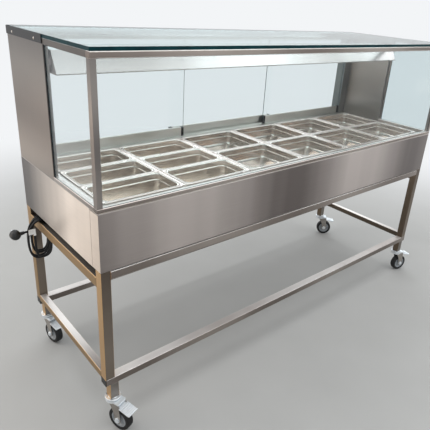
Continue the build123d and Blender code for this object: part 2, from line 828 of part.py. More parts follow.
# Infrared lamps: a tube with two holders that hang from the roof of the hood
lamp_pitch = 2 * hood_half_length / lamp_count
lamp_length = lamp_pitch - lamp_gap
lamp_height = hood_top - lamp_drop
with BuildPart() as heat_lamps:
    for n in range(lamp_count):
        lamp_x = (n - (lamp_count - 1) / 2) * lamp_pitch
        with BuildSketch(endwise(lamp_x - lamp_length / 2)):
            with Locations((hood_middle, lamp_height)):
                Circle(lamp_radius)
        extrude(amount=lamp_length)
        for end in (-1, 1):
            with BuildSketch(endwise(lamp_x + end * lamp_length / 2)):
                with Locations((hood_middle, lamp_height)):
                    Rectangle(holder_size, holder_size)
                with Locations((hood_middle, (lamp_height + hood_top - hood_sheet) / 2)):
                    Rectangle(hanger_width, lamp_drop - hood_sheet)
            extrude(amount=-end * holder_length)
heat_lamps.part.label = "heat_lamps"
export_step(heat_lamps.part, "parts/heat_lamps.step")

# Door tracks: a plate with two ribs below and a guide with two slots above
inner_track = back - inner_track_inset
outer_track = back - outer_track_inset
track_back = back - track_inset
track_length = 2 * (jamb_inner - touch_gap)
track_middle = (jamb_front + track_back) / 2
with BuildPart() as door_tracks:
    with BuildSketch(endwise(-track_length / 2)):
        with Locations((track_middle, flange_top + track_sheet / 2)):
            Rectangle(track_back - jamb_front, track_sheet)
        for y in (inner_track, outer_track):
            with Locations((y, flange_top + guide_rib_height / 2)):
                Rectangle(guide_rib, guide_rib_height)
        with Locations((track_middle, door_head - guide_height / 2)):
            Rectangle(track_back - jamb_front, guide_height)
        for y in (inner_track, outer_track):
            with Locations((y, door_head - guide_height + guide_slot_depth / 2)):
                Rectangle(guide_slot, guide_slot_depth, mode=Mode.SUBTRACT)
    extrude(amount=track_length)
door_tracks.part.label = "door_tracks"
export_step(door_tracks.part, "parts/door_tracks.step")

# Doors: a glass pane in an aluminium bottom rail with a black cap on each end
door_rail_base = flange_top + track_sheet + touch_gap
door_rail_middle = door_rail_base + door_rail_height / 2
groove_width = guide_rib + groove_play
groove_depth = guide_rib_height - track_sheet + groove_play
door_pane_base = door_rail_base + door_pane_lift
door_pane_top = door_head - guide_height + door_pane_entry
slot_depth = door_rail_height - door_pane_lift
door_reach = jamb_inner - door_end_gap
door_width = 2 * (door_reach + door_overlap) / 3
door_starts = {"left": -door_reach, "middle": -door_width / 2, "right": door_reach - door_width}
for door, start in door_starts.items():
    door_y = outer_track if door == "middle" else inner_track
    with BuildPart() as door_pane_part:
        with BuildSketch(facing(door_y - door_pane / 2)):
            with Locations((start + door_width / 2, (door_pane_base + door_pane_top) / 2)):
                Rectangle(door_width, door_pane_top - door_pane_base)
        extrude(amount=-door_pane)
    door_pane_part.part.label = "door_" + door + "_pane"
    export_step(door_pane_part.part, "parts/door_" + door + "_pane.step")

    door_stations = (0, door_cap_length, door_width - door_cap_length, door_width)
    rail_solids = []
    for near, far in zip(door_stations[:-1], door_stations[1:]):
        with BuildPart() as rail_piece:
            with BuildSketch(endwise(start + near)):
                with Locations((door_y, door_rail_middle)):
                    Rectangle(door_rail_thickness, door_rail_height)
                with Locations((door_y, door_rail_base + groove_depth / 2)):
                    Rectangle(groove_width, groove_depth, mode=Mode.SUBTRACT)
                with Locations((door_y, door_pane_base + slot_depth / 2)):
                    Rectangle(door_pane + touch_gap, slot_depth, mode=Mode.SUBTRACT)
            extrude(amount=far - near)
        rail_solids = rail_solids + rail_piece.part.solids()
    door_rail = Compound(rail_solids)
    door_rail.label = "door_" + door + "_rail"
    export_step(door_rail, "parts/door_" + door + "_rail.step")

# Controls: thermostat and switch housing behind the panel, with a knob and a rocker outside
panel_inner = back - sheet
with BuildPart() as thermostat:
    with BuildSketch(facing(panel_inner)):
        with Locations((knob_x, control_height)):
            Rectangle(thermostat_width, thermostat_height)
    extrude(amount=thermostat_depth)
    with BuildSketch(facing(panel_inner)):
        with Locations((knob_x, control_height)):
            Circle(shaft_radius + run_gap)
    extrude(amount=thermostat_depth / 2, mode=Mode.SUBTRACT)

rocker_width_cut = rocker_width + rocker_slot
rocker_height_cut = switch_height - 2 * switch_face
with BuildPart() as switch_housing:
    with BuildSketch(facing(back)):
        with Locations((switch_x, control_height)):
            Rectangle(switch_width - 2 * touch_gap, switch_height - 2 * touch_gap)
    extrude(amount=switch_depth)
    with BuildSketch(facing(back)):
        with Locations((switch_x, control_height)):
            Rectangle(switch_width + 2 * switch_border, switch_height + 2 * switch_border)
    extrude(amount=-switch_face)
    with BuildSketch(facing(back + switch_face)):
        with Locations((switch_x, control_height)):
            Rectangle(rocker_width_cut, rocker_height_cut)
    extrude(amount=switch_depth - 3 * switch_face, mode=Mode.SUBTRACT)
    with BuildSketch(endwise(switch_x - rocker_width_cut / 2 - switch_face)):
        with Locations((back - rocker_pin_inset, control_height)):
            Circle(rocker_pin_radius + run_gap)
    extrude(amount=rocker_width_cut + 2 * switch_face, mode=Mode.SUBTRACT)
control_box = Compound(thermostat.part.solids() + switch_housing.part.solids())
control_box.label = "control_box"
export_step(control_box, "parts/control_box.step")

with BuildPart() as thermostat_knob:
    with BuildSketch(facing(back + seam_gap)):
        with Locations((knob_x, control_height)):
            Circle(knob_radius)
    extrude(amount=-knob_skirt)
    with BuildSketch(facing(back + seam_gap)):
        with Locations((knob_x, control_height)):
            Circle(knob_radius - knob_skirt)
    extrude(amount=-knob_length)
    with BuildSketch(facing(back + seam_gap + knob_length)):
        with Locations((knob_x, control_height + knob_radius - knob_skirt - knob_mark_length / 2)):
            Rectangle(knob_mark_width, knob_mark_length)
    extrude(amount=knob_mark_depth, mode=Mode.SUBTRACT)
    with BuildSketch(facing(back + seam_gap)):
        with Locations((knob_x, control_height)):
            Circle(shaft_radius)
    extrude(amount=shaft_length)
thermostat_knob.part.label = "thermostat_knob"
export_step(thermostat_knob.part, "parts/thermostat_knob.step")

rocker_turn = math.radians(rocker_rest)
rocker_out = (0, math.cos(rocker_turn), math.sin(rocker_turn))
rocker_pivot = (body_x + switch_x, body_y + back - rocker_pin_inset, control_height)
rocker_plane = Plane(origin=rocker_pivot, x_dir=rocker_out, z_dir=(1, 0, 0))
rocker_pin_reach = rocker_width_cut / 2 + switch_face - 2 * run_gap
with BuildPart() as switch_rocker:
    with BuildSketch(rocker_plane.offset(-rocker_width / 2)):
        with BuildLine():
            Polyline((-2, -8), (5, -8.4), (7.5, -8), (6.5, 0),
                     (7.5, 8), (5, 8.4), (-2, 8), (-6, 0), close=True)
        make_face()
    extrude(amount=rocker_width)
    with BuildSketch(rocker_plane.offset(-rocker_pin_reach)):
        Circle(rocker_pin_radius)
    extrude(amount=2 * rocker_pin_reach)
switch_rocker.part.label = "switch_rocker"
export_step(switch_rocker.part, "parts/switch_rocker.step")

# Cord gland under the tray, with a bore that the lead runs through
lead_radius = lead_diameter / 2
with BuildPart() as cord_gland:
    with BuildSketch(level(cabinet_floor)):
        with Locations((gland_x, coil_start_y)):
            RegularPolygon(gland_radius, 6)
    extrude(amount=-gland_nut)
    with BuildSketch(level(cabinet_floor - gland_nut)):
        with Locations((gland_x, coil_start_y)):
            Circle(gland_radius - 2.5)
    extrude(amount=-2 * gland_thread, taper=8)
    with BuildSketch(level(cabinet_floor)):
        with Locations((gland_x, coil_start_y)):
            Circle(gland_thread)
    extrude(amount=2 * gland_nut)
    with BuildSketch(level(cabinet_floor + sheet)):
        with Locations((gland_x, coil_start_y)):
            RegularPolygon(gland_radius - 1, 6)
    extrude(amount=gland_nut)
    with BuildSketch(level(cabinet_floor + 2 * gland_nut)):
        with Locations((gland_x, coil_start_y)):
            Circle(lead_radius + touch_gap)
    extrude(amount=-3 * gland_nut - 2 * gland_thread, mode=Mode.SUBTRACT)
cord_gland.part.label = "cord_gland"
export_step(cord_gland.part, "parts/cord_gland.step")


def biarc(begin, begin_way, end, end_way):
    # Two arcs that meet smoothly: equal tangent lengths from both ends
    span = end - begin
    ways = begin_way + end_way
    bend = 2 * (1 - begin_way.dot(end_way))
    along = span.dot(ways)
    reach = (math.sqrt(along * along + bend * span.dot(span)) - along) / bend
    first = begin + begin_way * reach
    last = end - end_way * reach
    return (first + last) / 2, (last - first).normalized()


# Coil: four and a half loose turns over the rail, each down the inside, under, up the outside and over
hub = Vector(body_x - rail_x, body_y + coil_start_y, 0)
stations = []
for n, (inner, outer, bottom) in enumerate(zip(coil_inner, coil_outer, coil_bottoms)):
    for quarter in range(4):
        y = -coil_pitch * (n + quarter / 4)
        if quarter == 0:
            stations.append((hub + Vector(inner, y, coil_middle), Vector(0, -coil_lean, -1)))
        elif quarter == 1:
            stations.append((hub + Vector((inner - outer) / 2, y, bottom), Vector(-1, -coil_lean, 0)))
        elif quarter == 2:
            stations.append((hub + Vector(-outer, y, coil_middle), Vector(0, -coil_lean, 1)))
        else:
            stations.append((hub + Vector(0, y, side_rail_top + coil_rise), Vector(1, -coil_lean, 0)))
stations = [(place, way.normalized()) for place, way in stations[:-1]]
coil_begin = stations[0][0] - stations[0][1] * coil_tail
coil_end = stations[-1][0] + stations[-1][1] * coil_tail
with BuildPart() as cord_coil:
    with BuildLine() as coil_line:
        Line(coil_begin, stations[0][0])
        for (place, way), (next_place, next_way) in zip(stations[:-1], stations[1:]):
            joint, joint_way = biarc(place, way, next_place, next_way)
            TangentArc(place, joint, tangent=way)
            TangentArc(joint, next_place, tangent=joint_way)
        Line(stations[-1][0], coil_end)
    with BuildSketch(Plane(origin=coil_begin, z_dir=stations[0][1])):
        Circle(lead_radius)
    sweep()
cord_coil.part.label = "cord_coil"
export_step(cord_coil.part, "parts/cord_coil.step")

coil_wire = coil_line.wires()[0]
coil_length = coil_wire.length
coil_steps = 900
coil_points = [coil_wire @ (n / coil_steps) for n in range(coil_steps + 1)]
skip = int(coil_steps * 4 * lead_diameter / coil_length)
least = min((coil_points[i] - coil_points[j]).length
            for i in range(coil_steps + 1) for j in range(i + skip, coil_steps + 1))
print("coil length", round(coil_length), "least gap between turns", round(least - lead_diameter, 2))
print("coil volume", round(cord_coil.part.volume), "section by length",
      round(math.pi * lead_radius ** 2 * coil_length))

# Free stretches of the lead: from the gland to the coil, and from the coil out to the plug
gland_spot = Vector(body_x + gland_x, body_y + coil_start_y, cabinet_floor)
lead_in = [gland_spot + Vector(0, 0, 9), gland_spot - Vector(0, 0, 35),
           coil_begin - stations[0][1] * 34, coil_begin]
lead_out = [coil_end, coil_end + stations[-1][1] * 26,
            coil_end + Vector(-20, -2, 43), coil_end + Vector(-42, -4, 42)]
lead_solids = []
for route in (lead_in, lead_out):
    radii = []
    for before, here, after in zip(route[:-2], route[1:-1], route[2:]):
        half_turn = math.radians((here - before).get_angle(after - here)) / 2
        shorter = min((here - before).length, (after - here).length)
        radii.append(0.45 * shorter / math.tan(half_turn))
    with BuildPart() as stretch:
        with BuildLine() as stretch_line:
            FilletPolyline(*route, radius=radii)
        with BuildSketch(Plane(origin=route[0], z_dir=route[1] - route[0])):
            Circle(lead_radius)
        sweep()
    lead_solids = lead_solids + stretch.part.solids()
    stretch_length = stretch_line.wires()[0].length
    print("lead radii", [round(r, 1) for r in radii], "length", round(stretch_length, 1),
          "volume", round(stretch.part.volume), round(math.pi * lead_radius ** 2 * stretch_length))
cord_leads = Compound(lead_solids)
cord_leads.label = "cord_leads"
export_step(cord_leads, "parts/cord_leads.step")

# Angled plug: the lead comes in from the side, the domed back shows and the two pins point to the rear
plug_start = lead_out[-1]
plug_way = (lead_out[-1] - lead_out[-2]).normalized()
pin_way = plug_way.cross(Vector(0, 0, 1)).normalized()
plug_middle = plug_start + plug_way * (relief_length + plug_radius)
plug_back = Plane(origin=plug_middle - pin_way * (plug_depth / 2), x_dir=plug_way, z_dir=pin_way)
with BuildPart() as cord_plug:
    with BuildSketch(plug_back):
        Circle(plug_radius)
    extrude(amount=plug_depth)
    fillet(cord_plug.faces().sort_by(Axis.Y)[0].edges(), plug_radius / 2)
    with BuildSketch(Plane(origin=plug_start, z_dir=plug_way)):
        Circle(plug_radius / 3)
    extrude(amount=relief_length + plug_radius, taper=-4)
    with BuildSketch(plug_back.offset(plug_depth)):
        with GridLocations(1, pin_spacing, 1, 2):
            Circle(pin_radius)
    extrude(amount=pin_length)
cord_plug.part.label = "cord_plug"
export_step(cord_plug.part, "parts/cord_plug.step")

# Bare white tag, flat against the lead
tag_middle = coil_end + Vector(-12, -lead_radius - 2.9, 38)
with BuildPart() as cord_tag:
    with BuildSketch(Plane(origin=tag_middle, x_dir=(1, 0, 0), z_dir=(0, -1, 0))):
        RectangleRounded(tag_width, tag_height, 3)
    extrude(amount=tag_sheet)
cord_tag.part.label = "cord_tag"
export_step(cord_tag.part, "parts/cord_tag.step")
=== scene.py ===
import bpy
import numpy as np
from mathutils import Matrix


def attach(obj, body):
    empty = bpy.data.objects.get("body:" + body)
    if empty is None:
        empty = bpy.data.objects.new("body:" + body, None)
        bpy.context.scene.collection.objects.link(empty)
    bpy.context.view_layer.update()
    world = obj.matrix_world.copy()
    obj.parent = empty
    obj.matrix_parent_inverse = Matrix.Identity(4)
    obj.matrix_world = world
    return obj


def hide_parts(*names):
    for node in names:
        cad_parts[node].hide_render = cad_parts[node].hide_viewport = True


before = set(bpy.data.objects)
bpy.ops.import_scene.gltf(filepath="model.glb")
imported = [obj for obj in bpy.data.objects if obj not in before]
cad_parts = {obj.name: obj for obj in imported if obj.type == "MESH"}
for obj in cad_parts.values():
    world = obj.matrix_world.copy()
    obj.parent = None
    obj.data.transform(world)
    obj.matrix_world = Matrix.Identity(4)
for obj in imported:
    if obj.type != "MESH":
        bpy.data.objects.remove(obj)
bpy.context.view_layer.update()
print("frame loaded")

mm = 0.001
bodyMiddle = np.array([-33.0, 33.0, 0.0])  # middle of the body in the shared frame, millimetres
xWay, yWay, zWay = np.eye(3)

# outline of the body in millimetres from its middle; heights are above the floor
left, right, front, back = -1050.0, 1050.0, -340.0, 340.0
cabinetFloor, cabinetTop, flangeTop = 709.0, 926.0, 927.5
sillTop, doorHead, topRailBase, topRailTop, caseTop = 943.0, 1395.0, 1402.0, 1422.0, 1434.0
pillarFront, pillarThickness = 2.0, 22.0

# camera as the photograph was taken, with the picture taken as 430 by 430; angles in radians
view = {"place": (-1682.6, -1589.7, 1585.8), "turn": 0.7533, "tilt": 0.4059, "roll": 0.0778,
        "focal": 475.3, "middle": (238.55, 202.49), "picture": 430.0, "sensor": 36.0}


def addObject(name, data):
    # puts an object with the given data into the scene
    made = bpy.data.objects.new(name, data)
    bpy.context.collection.objects.link(made)
    return made


def setCamera(view):
    # looks along (sin turn cos tilt, cos turn cos tilt, -sin tilt) and then rolls about that line
    turn, tilt, roll, picture = view["turn"], view["tilt"], view["roll"], view["picture"]
    ahead = np.array([np.sin(turn) * np.cos(tilt), np.cos(turn) * np.cos(tilt), -np.sin(tilt)])
    level = np.array([np.cos(turn), -np.sin(turn), 0.0])
    above = np.cross(level, ahead)
    rightWay = np.cos(roll) * level + np.sin(roll) * above
    upWay = np.cos(roll) * above - np.sin(roll) * level
    data = bpy.data.cameras.new("camera")
    data.sensor_width = view["sensor"]
    data.lens = view["focal"] / picture * view["sensor"]
    data.shift_x = 0.5 - view["middle"][0] / picture
    data.shift_y = view["middle"][1] / picture - 0.5
    camera = addObject("camera", data)
    columns = np.stack([rightWay, upWay, -ahead, np.array(view["place"]) * mm], axis=1)
    camera.matrix_world = Matrix(np.vstack([columns, [0, 0, 0, 1]]).tolist())
    bpy.context.scene.camera = camera


setCamera(view)
print("camera set")


def linear(code):
    # sRGB hex to linear light: the dark end is divided by 12.92, the rest follows the 2.4 power curve
    value = np.array([int(code[i:i + 2], 16) for i in (1, 3, 5)]) / 255
    return (*np.where(value <= 0.04045, value / 12.92, ((value + 0.055) / 1.055) ** 2.4).tolist(), 1.0)


def addNode(tree, kind, props=None, sockets=None, links=None, tones=()):
    # one node with its settings, its socket values, the links into it and, for a ramp, its tones
    node = tree.nodes.new(kind)
    for key, value in (props or {}).items():
        setattr(node, key, value)
    for key, value in (sockets or {}).items():
        node.inputs[key].default_value = value
    for key, source in (links or {}).items():
        tree.links.new(source, node.inputs[key])
    for stop, (place, code) in enumerate(tones):
        node.color_ramp.elements[stop].position = place
        node.color_ramp.elements[stop].color = linear(code)
    return node


def newMaterial(name):
    # an empty material, its node tree, and the place on the object that its patterns follow
    material = bpy.data.materials.new(name)
    material.use_nodes = True
    tree = material.node_tree
    tree.nodes.clear()
    return material, tree, addNode(tree, "ShaderNodeTexCoord").outputs["Object"]


def grainShader(tree, tone, grain, limits, rough, bump, sockets):
    # the grain, between its limits, also moves the roughness between two values and lifts the surface
    roughMap = addNode(tree, "ShaderNodeMapRange", links={"Value": grain}, sockets={
        "From Min": limits[0], "From Max": limits[1], "To Min": rough[0], "To Max": rough[1]})
    lift = addNode(tree, "ShaderNodeBump", sockets={"Strength": bump[0], "Distance": bump[1]},
                   links={"Height": grain})
    shader = addNode(tree, "ShaderNodeBsdfPrincipled", sockets=sockets, links={
        "Base Color": tone.outputs["Color"], "Roughness": roughMap.outputs["Result"],
        "Normal": lift.outputs["Normal"]})
    addNode(tree, "ShaderNodeOutputMaterial", links={"Surface": shader.outputs["BSDF"]})
    return shader


def brushedSteel(name, low, high, grain, roughness=0.36, stretch=0.85, wave=1.2, bright=0.0, metallic=1.0):
    # stainless sheet or tube finished with an abrasive belt: fine scratches run one way; the soft bands of
    # what it mirrors, smeared across them, are painted reflection in its colour, wave metres apart along the
    # grain, and one pale crest lies at bright; real scratches are about 0.2 mm apart, drawn 3 mm apart to
    # show
    material, tree, place = newMaterial(name)
    fields = []
    for across, along, detail, falloff in ((330.0, 5.0, 4.0, 0.65), (0.3, 6.0, 2.0, 0.5)):
        scale = [along if axis == grain else across for axis in "xyz"]
        drawnOut = addNode(tree, "ShaderNodeMapping", sockets={"Scale": scale}, links={"Vector": place})
        noise = addNode(tree, "ShaderNodeTexNoise", links={"Vector": drawnOut.outputs["Vector"]},
                        sockets={"Scale": 1.0, "Detail": detail, "Roughness": falloff})
        fields.append(noise.outputs["Fac"])
    scratch, streak = fields
    # painted reflection bands: a wave texture repeats every pi / 10 metres at scale 1, and its crest lies
    # where the angle is pi
    band = addNode(tree, "ShaderNodeTexWave", {"bands_direction": grain.upper()},
                   {"Scale": np.pi / 10 / wave, "Phase Offset": np.pi - 2 * np.pi * bright / wave,
                    "Distortion": 0.8, "Detail": 1.0, "Detail Scale": 3.0}, {"Vector": place})
    finer = addNode(tree, "ShaderNodeMix", {"data_type": "FLOAT"}, {"Factor": 0.8},
                    {"A": scratch, "B": streak})
    blend = addNode(tree, "ShaderNodeMix", {"data_type": "FLOAT"}, {"Factor": 0.55},
                    {"A": finer.outputs["Result"], "B": band.outputs["Fac"]})
    tone = addNode(tree, "ShaderNodeValToRGB", links={"Fac": blend.outputs["Result"]},
                   tones=((0.2, low), (0.8, high)))
    shader = grainShader(tree, tone, scratch, (0.3, 0.7), (roughness - 0.03, roughness + 0.03),
                         (0.05, 0.2 * mm), {"Metallic": metallic, "Anisotropic": stretch})
    if stretch:  # the first texture axis of the grain map lies across the scratches
        sideways = addNode(tree, "ShaderNodeTangent", {"direction_type": "UV_MAP", "uv_map": "grain"})
        tree.links.new(sideways.outputs["Tangent"], shader.inputs["Tangent"])
    return material


def mottled(name, low, high, size, metallic=0.0, roughness=0.5, depth=0.0, spread=0.03, coat=0.0, gloss=0.5):
    # even finish with a soft change of tone about size millimetres wide, and a bump of the same grain
    material, tree, place = newMaterial(name)
    patch = addNode(tree, "ShaderNodeTexNoise", links={"Vector": place},
                    sockets={"Scale": 1000.0 / size, "Detail": 4.0, "Roughness": 0.6}).outputs["Fac"]
    tone = addNode(tree, "ShaderNodeValToRGB", links={"Fac": patch}, tones=((0.35, low), (0.65, high)))
    grainShader(tree, tone, patch, (0.35, 0.65), (roughness - spread, roughness + spread),
                (0.3, depth * mm), {"Metallic": metallic, "Coat Weight": coat, "Specular IOR Level": gloss})
    return material


def clearGlass(name, tint, roughness=0.0, bending=1.52):
    # toughened float glass: clear with a faint green tint, and slight smears about 0.15 m wide from wiping
    material, tree, place = newMaterial(name)
    smear = addNode(tree, "ShaderNodeTexNoise", sockets={"Scale": 6.0, "Detail": 3.0},
                    links={"Vector": place})
    rough = addNode(tree, "ShaderNodeMapRange", links={"Value": smear.outputs["Fac"]}, sockets={
        "From Min": 0.5, "From Max": 0.75, "To Min": roughness, "To Max": roughness + 0.02})
    shader = addNode(tree, "ShaderNodeBsdfPrincipled", links={"Roughness": rough.outputs["Result"]},
                     sockets={"Base Color": linear(tint), "IOR": bending, "Transmission Weight": 1.0})
    addNode(tree, "ShaderNodeOutputMaterial", links={"Surface": shader.outputs["BSDF"]})
    return material


# brushed stainless with painted reflection: each sheet or tube has the tones of what it mirrors painted in
# bands along its grain, and lit and shaded copies of one steel stand for its light and shade
panelSteel = brushedSteel("brushedStainlessFront", "#6a6360", "#bdb4af", "x", wave=1.1, bright=-0.74)
sideSteel = brushedSteel("brushedStainlessSide", "#564e49", "#fff0e2", "y", wave=0.9, bright=-0.15)
pillarSteel = brushedSteel("brushedStainlessPillar", "#716c69", "#8f8984", "z", wave=0.36, bright=1.31)
legSteel = brushedSteel("brushedStainlessLeg", "#685e55", "#8f8479", "z", wave=0.9, bright=0.3)
# painted reflection: the faces that look to the left are painted warm at the left end and dull at the right
# end
legSidePaintedReflection = brushedSteel("brushedStainlessLegSide", "#675e55", "#e3bb8b", "x", wave=4.2, bright=-1.08)
railSidePaintedReflection = brushedSteel("brushedStainlessRailSide", "#675e55", "#b7976f", "x", wave=4.2, bright=-1.08)
# painted light: a paler copy of the pillar steel for the right-hand pillar, lips and jambs
paintedLightInnerSteel = brushedSteel("brushedStainlessInner", "#86807b", "#a49e98", "z", wave=0.36, bright=1.31)
# painted shade: a darker copy for the faces of the jambs that look along x
paintedShadeJambSteel = brushedSteel("brushedStainlessJamb", "#545a5b", "#6e7474", "z")
# painted shade: a darker copy for the castor sockets under the rails
paintedShadeSocketSteel = brushedSteel("brushedStainlessSocket", "#6e6964", "#908a84", "z")
# painted highlight: a paler copy for the rounded folds along the front panel's top and bottom
paintedHighlightFoldSteel = brushedSteel("brushedStainlessFold", "#a8a29d", "#d3cdc8", "x", wave=0.9, bright=-0.6)
railFaceX = brushedSteel("brushedStainlessRail", "#79706a", "#9f968f", "x", wave=0.9, bright=-0.6)
railFaceY = brushedSteel("brushedStainlessCrossRail", "#7d756f", "#a79f98", "y", wave=0.9, bright=0.0)
# painted light: upward faces take paler, softer copies of the steel, for the light from above
railTopX = brushedSteel("brushedStainlessRailTop", "#b8b0ab", "#f2eeeb", "x", 0.42, 0.3, 1.3, 0.14, 0.35)
railTopY = brushedSteel("brushedStainlessCrossRailTop", "#b0a8a3", "#f0ebe7", "y", 0.36, 0.3, 0.9, 0.1, 0.5)
sillTopSteel = brushedSteel("brushedStainlessSillTop", "#fbeee7", "#fff8f2", "x", 0.42, 0.3, 0.9, -0.6, 0.3)
steelPlain = brushedSteel("brushedStainlessSheet", "#a29b97", "#bdb6b1", "x", 0.34, 0.0)
# painted light: near-white tones with one broad light band along the hood, only partly metallic so that it
# looks white
paintedLightHoodSteel = brushedSteel("paintedLightStainlessHood", "#c9bbb7", "#fff1ee", "x", 0.22, 0.0, 1.15, -0.16, 0.7)
# satin stainless, pressed and evenly polished: what it mirrors is soft and has no direction
panSteel = mottled("satinStainlessPan", "#cdc3bb", "#dad1ca", 250, 1.0, 0.18, spread=0.02)
# painted light: the deep pans take a paler copy of the pan steel, against the shade inside them
paintedLightDeepPanSteel = mottled("satinStainlessDeepPan", "#f2e7de", "#f8efe7", 250, 0.92, 0.22, spread=0.02)
# painted highlight: rims and divider bars take a near-white, partly metallic copy of the steel
paintedHighlightRimSteel = mottled("satinStainlessRim", "#fdeae1", "#fff3ec", 250, 0.6, 0.26, spread=0.02)
paintedHighlightBarSteel = mottled("satinStainlessBar", "#fdeae1", "#fff3ec", 150, 0.6, 0.26)
# painted shade: a dark copy of the steel for the base tray and the side faces of the case's side rails
paintedShadeSteel = mottled("paintedShadeStainless", "#5a5450", "#6a645f", 250, 1.0, 0.4)
tankSteel = mottled("satinStainlessTank", "#c2bcb7", "#d0cac5", 250, 1.0, 0.32)
# painted light: a near-white copy for the rear head tube of the case
paintedLightHeadSteel = mottled("paintedLightStainlessHead", "#f3f5f5", "#fafbfb", 400, 1.0, 0.14, spread=0.02)
# zinc plate on pressed steel: pale, a little blue and half shiny; the second is a darker copy of it, painted
# shade
zincPlate = mottled("brightZincPlate", "#dde3e8", "#eaeef1", 40, 0.65, 0.34, spread=0.02)
paintedShadeZinc = mottled("shadedZincPlate", "#a19b95", "#b4aea8", 40, 1.0, 0.24, spread=0.02)
# heat has browned the elements' sheath; anodised bar has a pale, even sheen
elementSheath = mottled("oxidisedElementSheath", "#3c3733", "#55504a", 8, 1.0, 0.5)
aluminium = brushedSteel("anodisedAluminium", "#dad7d1", "#ebe8e3", "x", 0.36, 0.0)
# mouldings and coatings: dull highlights on a fine grain
blackPlastic = mottled("blackPolyamide", "#0d0d0e", "#171718", 1.5, 0.0, 0.42, 0.02)
darkBracket = mottled("darkGreyPowderCoat", "#28282a", "#323234", 1.2, 0.0, 0.5, 0.03, gloss=0.25)
sealRubber = mottled("blackSealRubber", "#070708", "#0e0e0f", 3, 0.0, 0.7, 0.02, gloss=0.2)
tyreRubber = mottled("blackTyreRubber", "#131314", "#202021", 4, 0.0, 0.65, 0.05, gloss=0.35)
wheelGrey = mottled("greyWheelPolymer", "#868b90", "#979ca0", 12, 0.0, 0.4, 0.02, coat=0.2)
leadRubber = mottled("blackLeadRubber", "#060607", "#0e0e0f", 4, 0.0, 0.5, 0.02, gloss=0.35)
tagCard = mottled("plainWhiteTag", "#e3e3e1", "#efefed", 3, 0.0, 0.55, 0.01)
ceramic = mottled("whiteCeramic", "#d9d4cb", "#e6e2da", 3, 0.0, 0.5, 0.02)
whitePaint = mottled("whitePointerPaint", "#dededc", "#ececea", 2, 0.0, 0.5)
quartz = clearGlass("frostedQuartz", "#f6efe6", 0.35)  # blurs what is seen through it
# the panes mirror very little in the picture, so light is bent less in them than in bare glass
topPlateGlass = clearGlass("thickFloatGlass", "#d6e4e5", bending=1.06)
doorGlass = clearGlass("doorFloatGlass", "#fdfefe", bending=1.12)
paneGlass = clearGlass("lowReflectionGlass", "#e8eff0", bending=1.2)
glassEdge = mottled("polishedGlassEdge", "#00262b", "#04363a", 60, 0.0, 0.4, gloss=0.08)
print("materials made")


def roundRect(halfX, halfY, radius, steps):
    # four quarter circles, one about each inner corner, anticlockwise
    angle = (np.arange(4)[:, None] * np.pi / 2 + np.linspace(0, np.pi / 2, steps)).ravel()
    signX = np.repeat([1, -1, -1, 1], steps)
    signY = np.repeat([1, 1, -1, -1], steps)
    return np.stack([signX * (halfX - radius) + radius * np.cos(angle),
                     signY * (halfY - radius) + radius * np.sin(angle)], axis=-1)


def loft(rings, capFirst=True, capLast=True, closeUp=False):
    # quads join each ring to the next; end rings are closed by one face, or the last ring joins the first
    count, around = rings.shape[:2]
    index = np.arange(count * around).reshape(count, around)
    lower = index if closeUp else index[:-1]
    upper = np.roll(index, -1, axis=0) if closeUp else index[1:]
    quads = np.stack([lower, np.roll(lower, -1, axis=1), np.roll(upper, -1, axis=1), upper], axis=-1)
    faces = quads.reshape(-1, 4).tolist()
    if capFirst and not closeUp:
        faces.append(index[0, ::-1].tolist())
    if capLast and not closeUp:
        faces.append(index[-1].tolist())
    return rings.reshape(-1, 3), faces


def gridFaces(index):
    # one quad for each cell of a grid of point numbers
    corners = [index[:-1, :-1], index[:-1, 1:], index[1:, 1:], index[1:, :-1]]
    return np.stack(corners, axis=-1).reshape(-1, 4)


axisOrder = {"x": (2, 0, 1), "y": (1, 2, 0), "z": (0, 1, 2)}  # where (first, second, along) go in x, y, z


def block(low, high, radius=1.5, axis="z", ends=None, steps=4):
    # rounded rectangle carried along the axis; at both ends it draws in by a quarter circle of radius ends
    low, high = np.array(low, float), np.array(high, float)
    order = list(axisOrder[axis])
    inverse = np.argsort(order)
    half = ((high - low) / 2)[inverse]
    middle = ((high + low) / 2)[inverse]
    ends = radius if ends is None else ends
    lean = np.linspace(0, np.pi / 2, steps)
    rise, fall = ends * (1 - np.cos(lean)), ends * (1 - np.sin(lean))
    draw = np.concatenate([fall, rise])
    along = np.concatenate([-half[2] + rise, half[2] - fall])
    rings = [np.column_stack([roundRect(half[0] - d, half[1] - d, max(radius - d, 0.05), steps),
                              np.full(4 * steps, h)]) for d, h in zip(draw, along)]
    points, faces = loft(np.stack(rings) + middle)
    return points[:, order], faces


def bothEnds(shapes):
    # the same shapes again on the other end of the trolley, turned back so that faces still point outwards
    mirrored = [(points * [-1, 1, 1], [face[::-1] for face in faces]) for points, faces in shapes]
    return shapes + mirrored


def bothSides(half):
    # a profile of (radius, height) and then its mirror image, with heights turned over
    return half + [(radius, -height) for radius, height in half[::-1]]


def lathe(profile, centre, axis, first, steps=48, closeUp=False, lobes=0, swing=0.0):
    # each (radius, height) of the profile becomes a circle about the axis; lobes wave its radius by swing
    second = np.cross(axis, first)
    angle = np.linspace(0, 2 * np.pi, steps, endpoint=False)
    circle = np.cos(angle)[:, None] * first + np.sin(angle)[:, None] * second
    circle = circle * (1 + swing * np.cos(lobes * angle))[:, None]
    radius, height = np.array(profile, float).T[:, :, None, None]
    return loft(np.array(centre, float) + radius * circle + height * axis, closeUp=closeUp)


def drawn(outline, origin, rightWay, upWay, depth):
    # flat outline, anticlockwise as seen from the side it is carried towards, which is rightWay x upWay
    outline = np.array(outline, float)
    flat = np.array(origin, float) + outline[:, :1] * rightWay + outline[:, 1:] * upWay
    return loft(np.stack([flat, flat + depth * np.cross(rightWay, upWay)]))


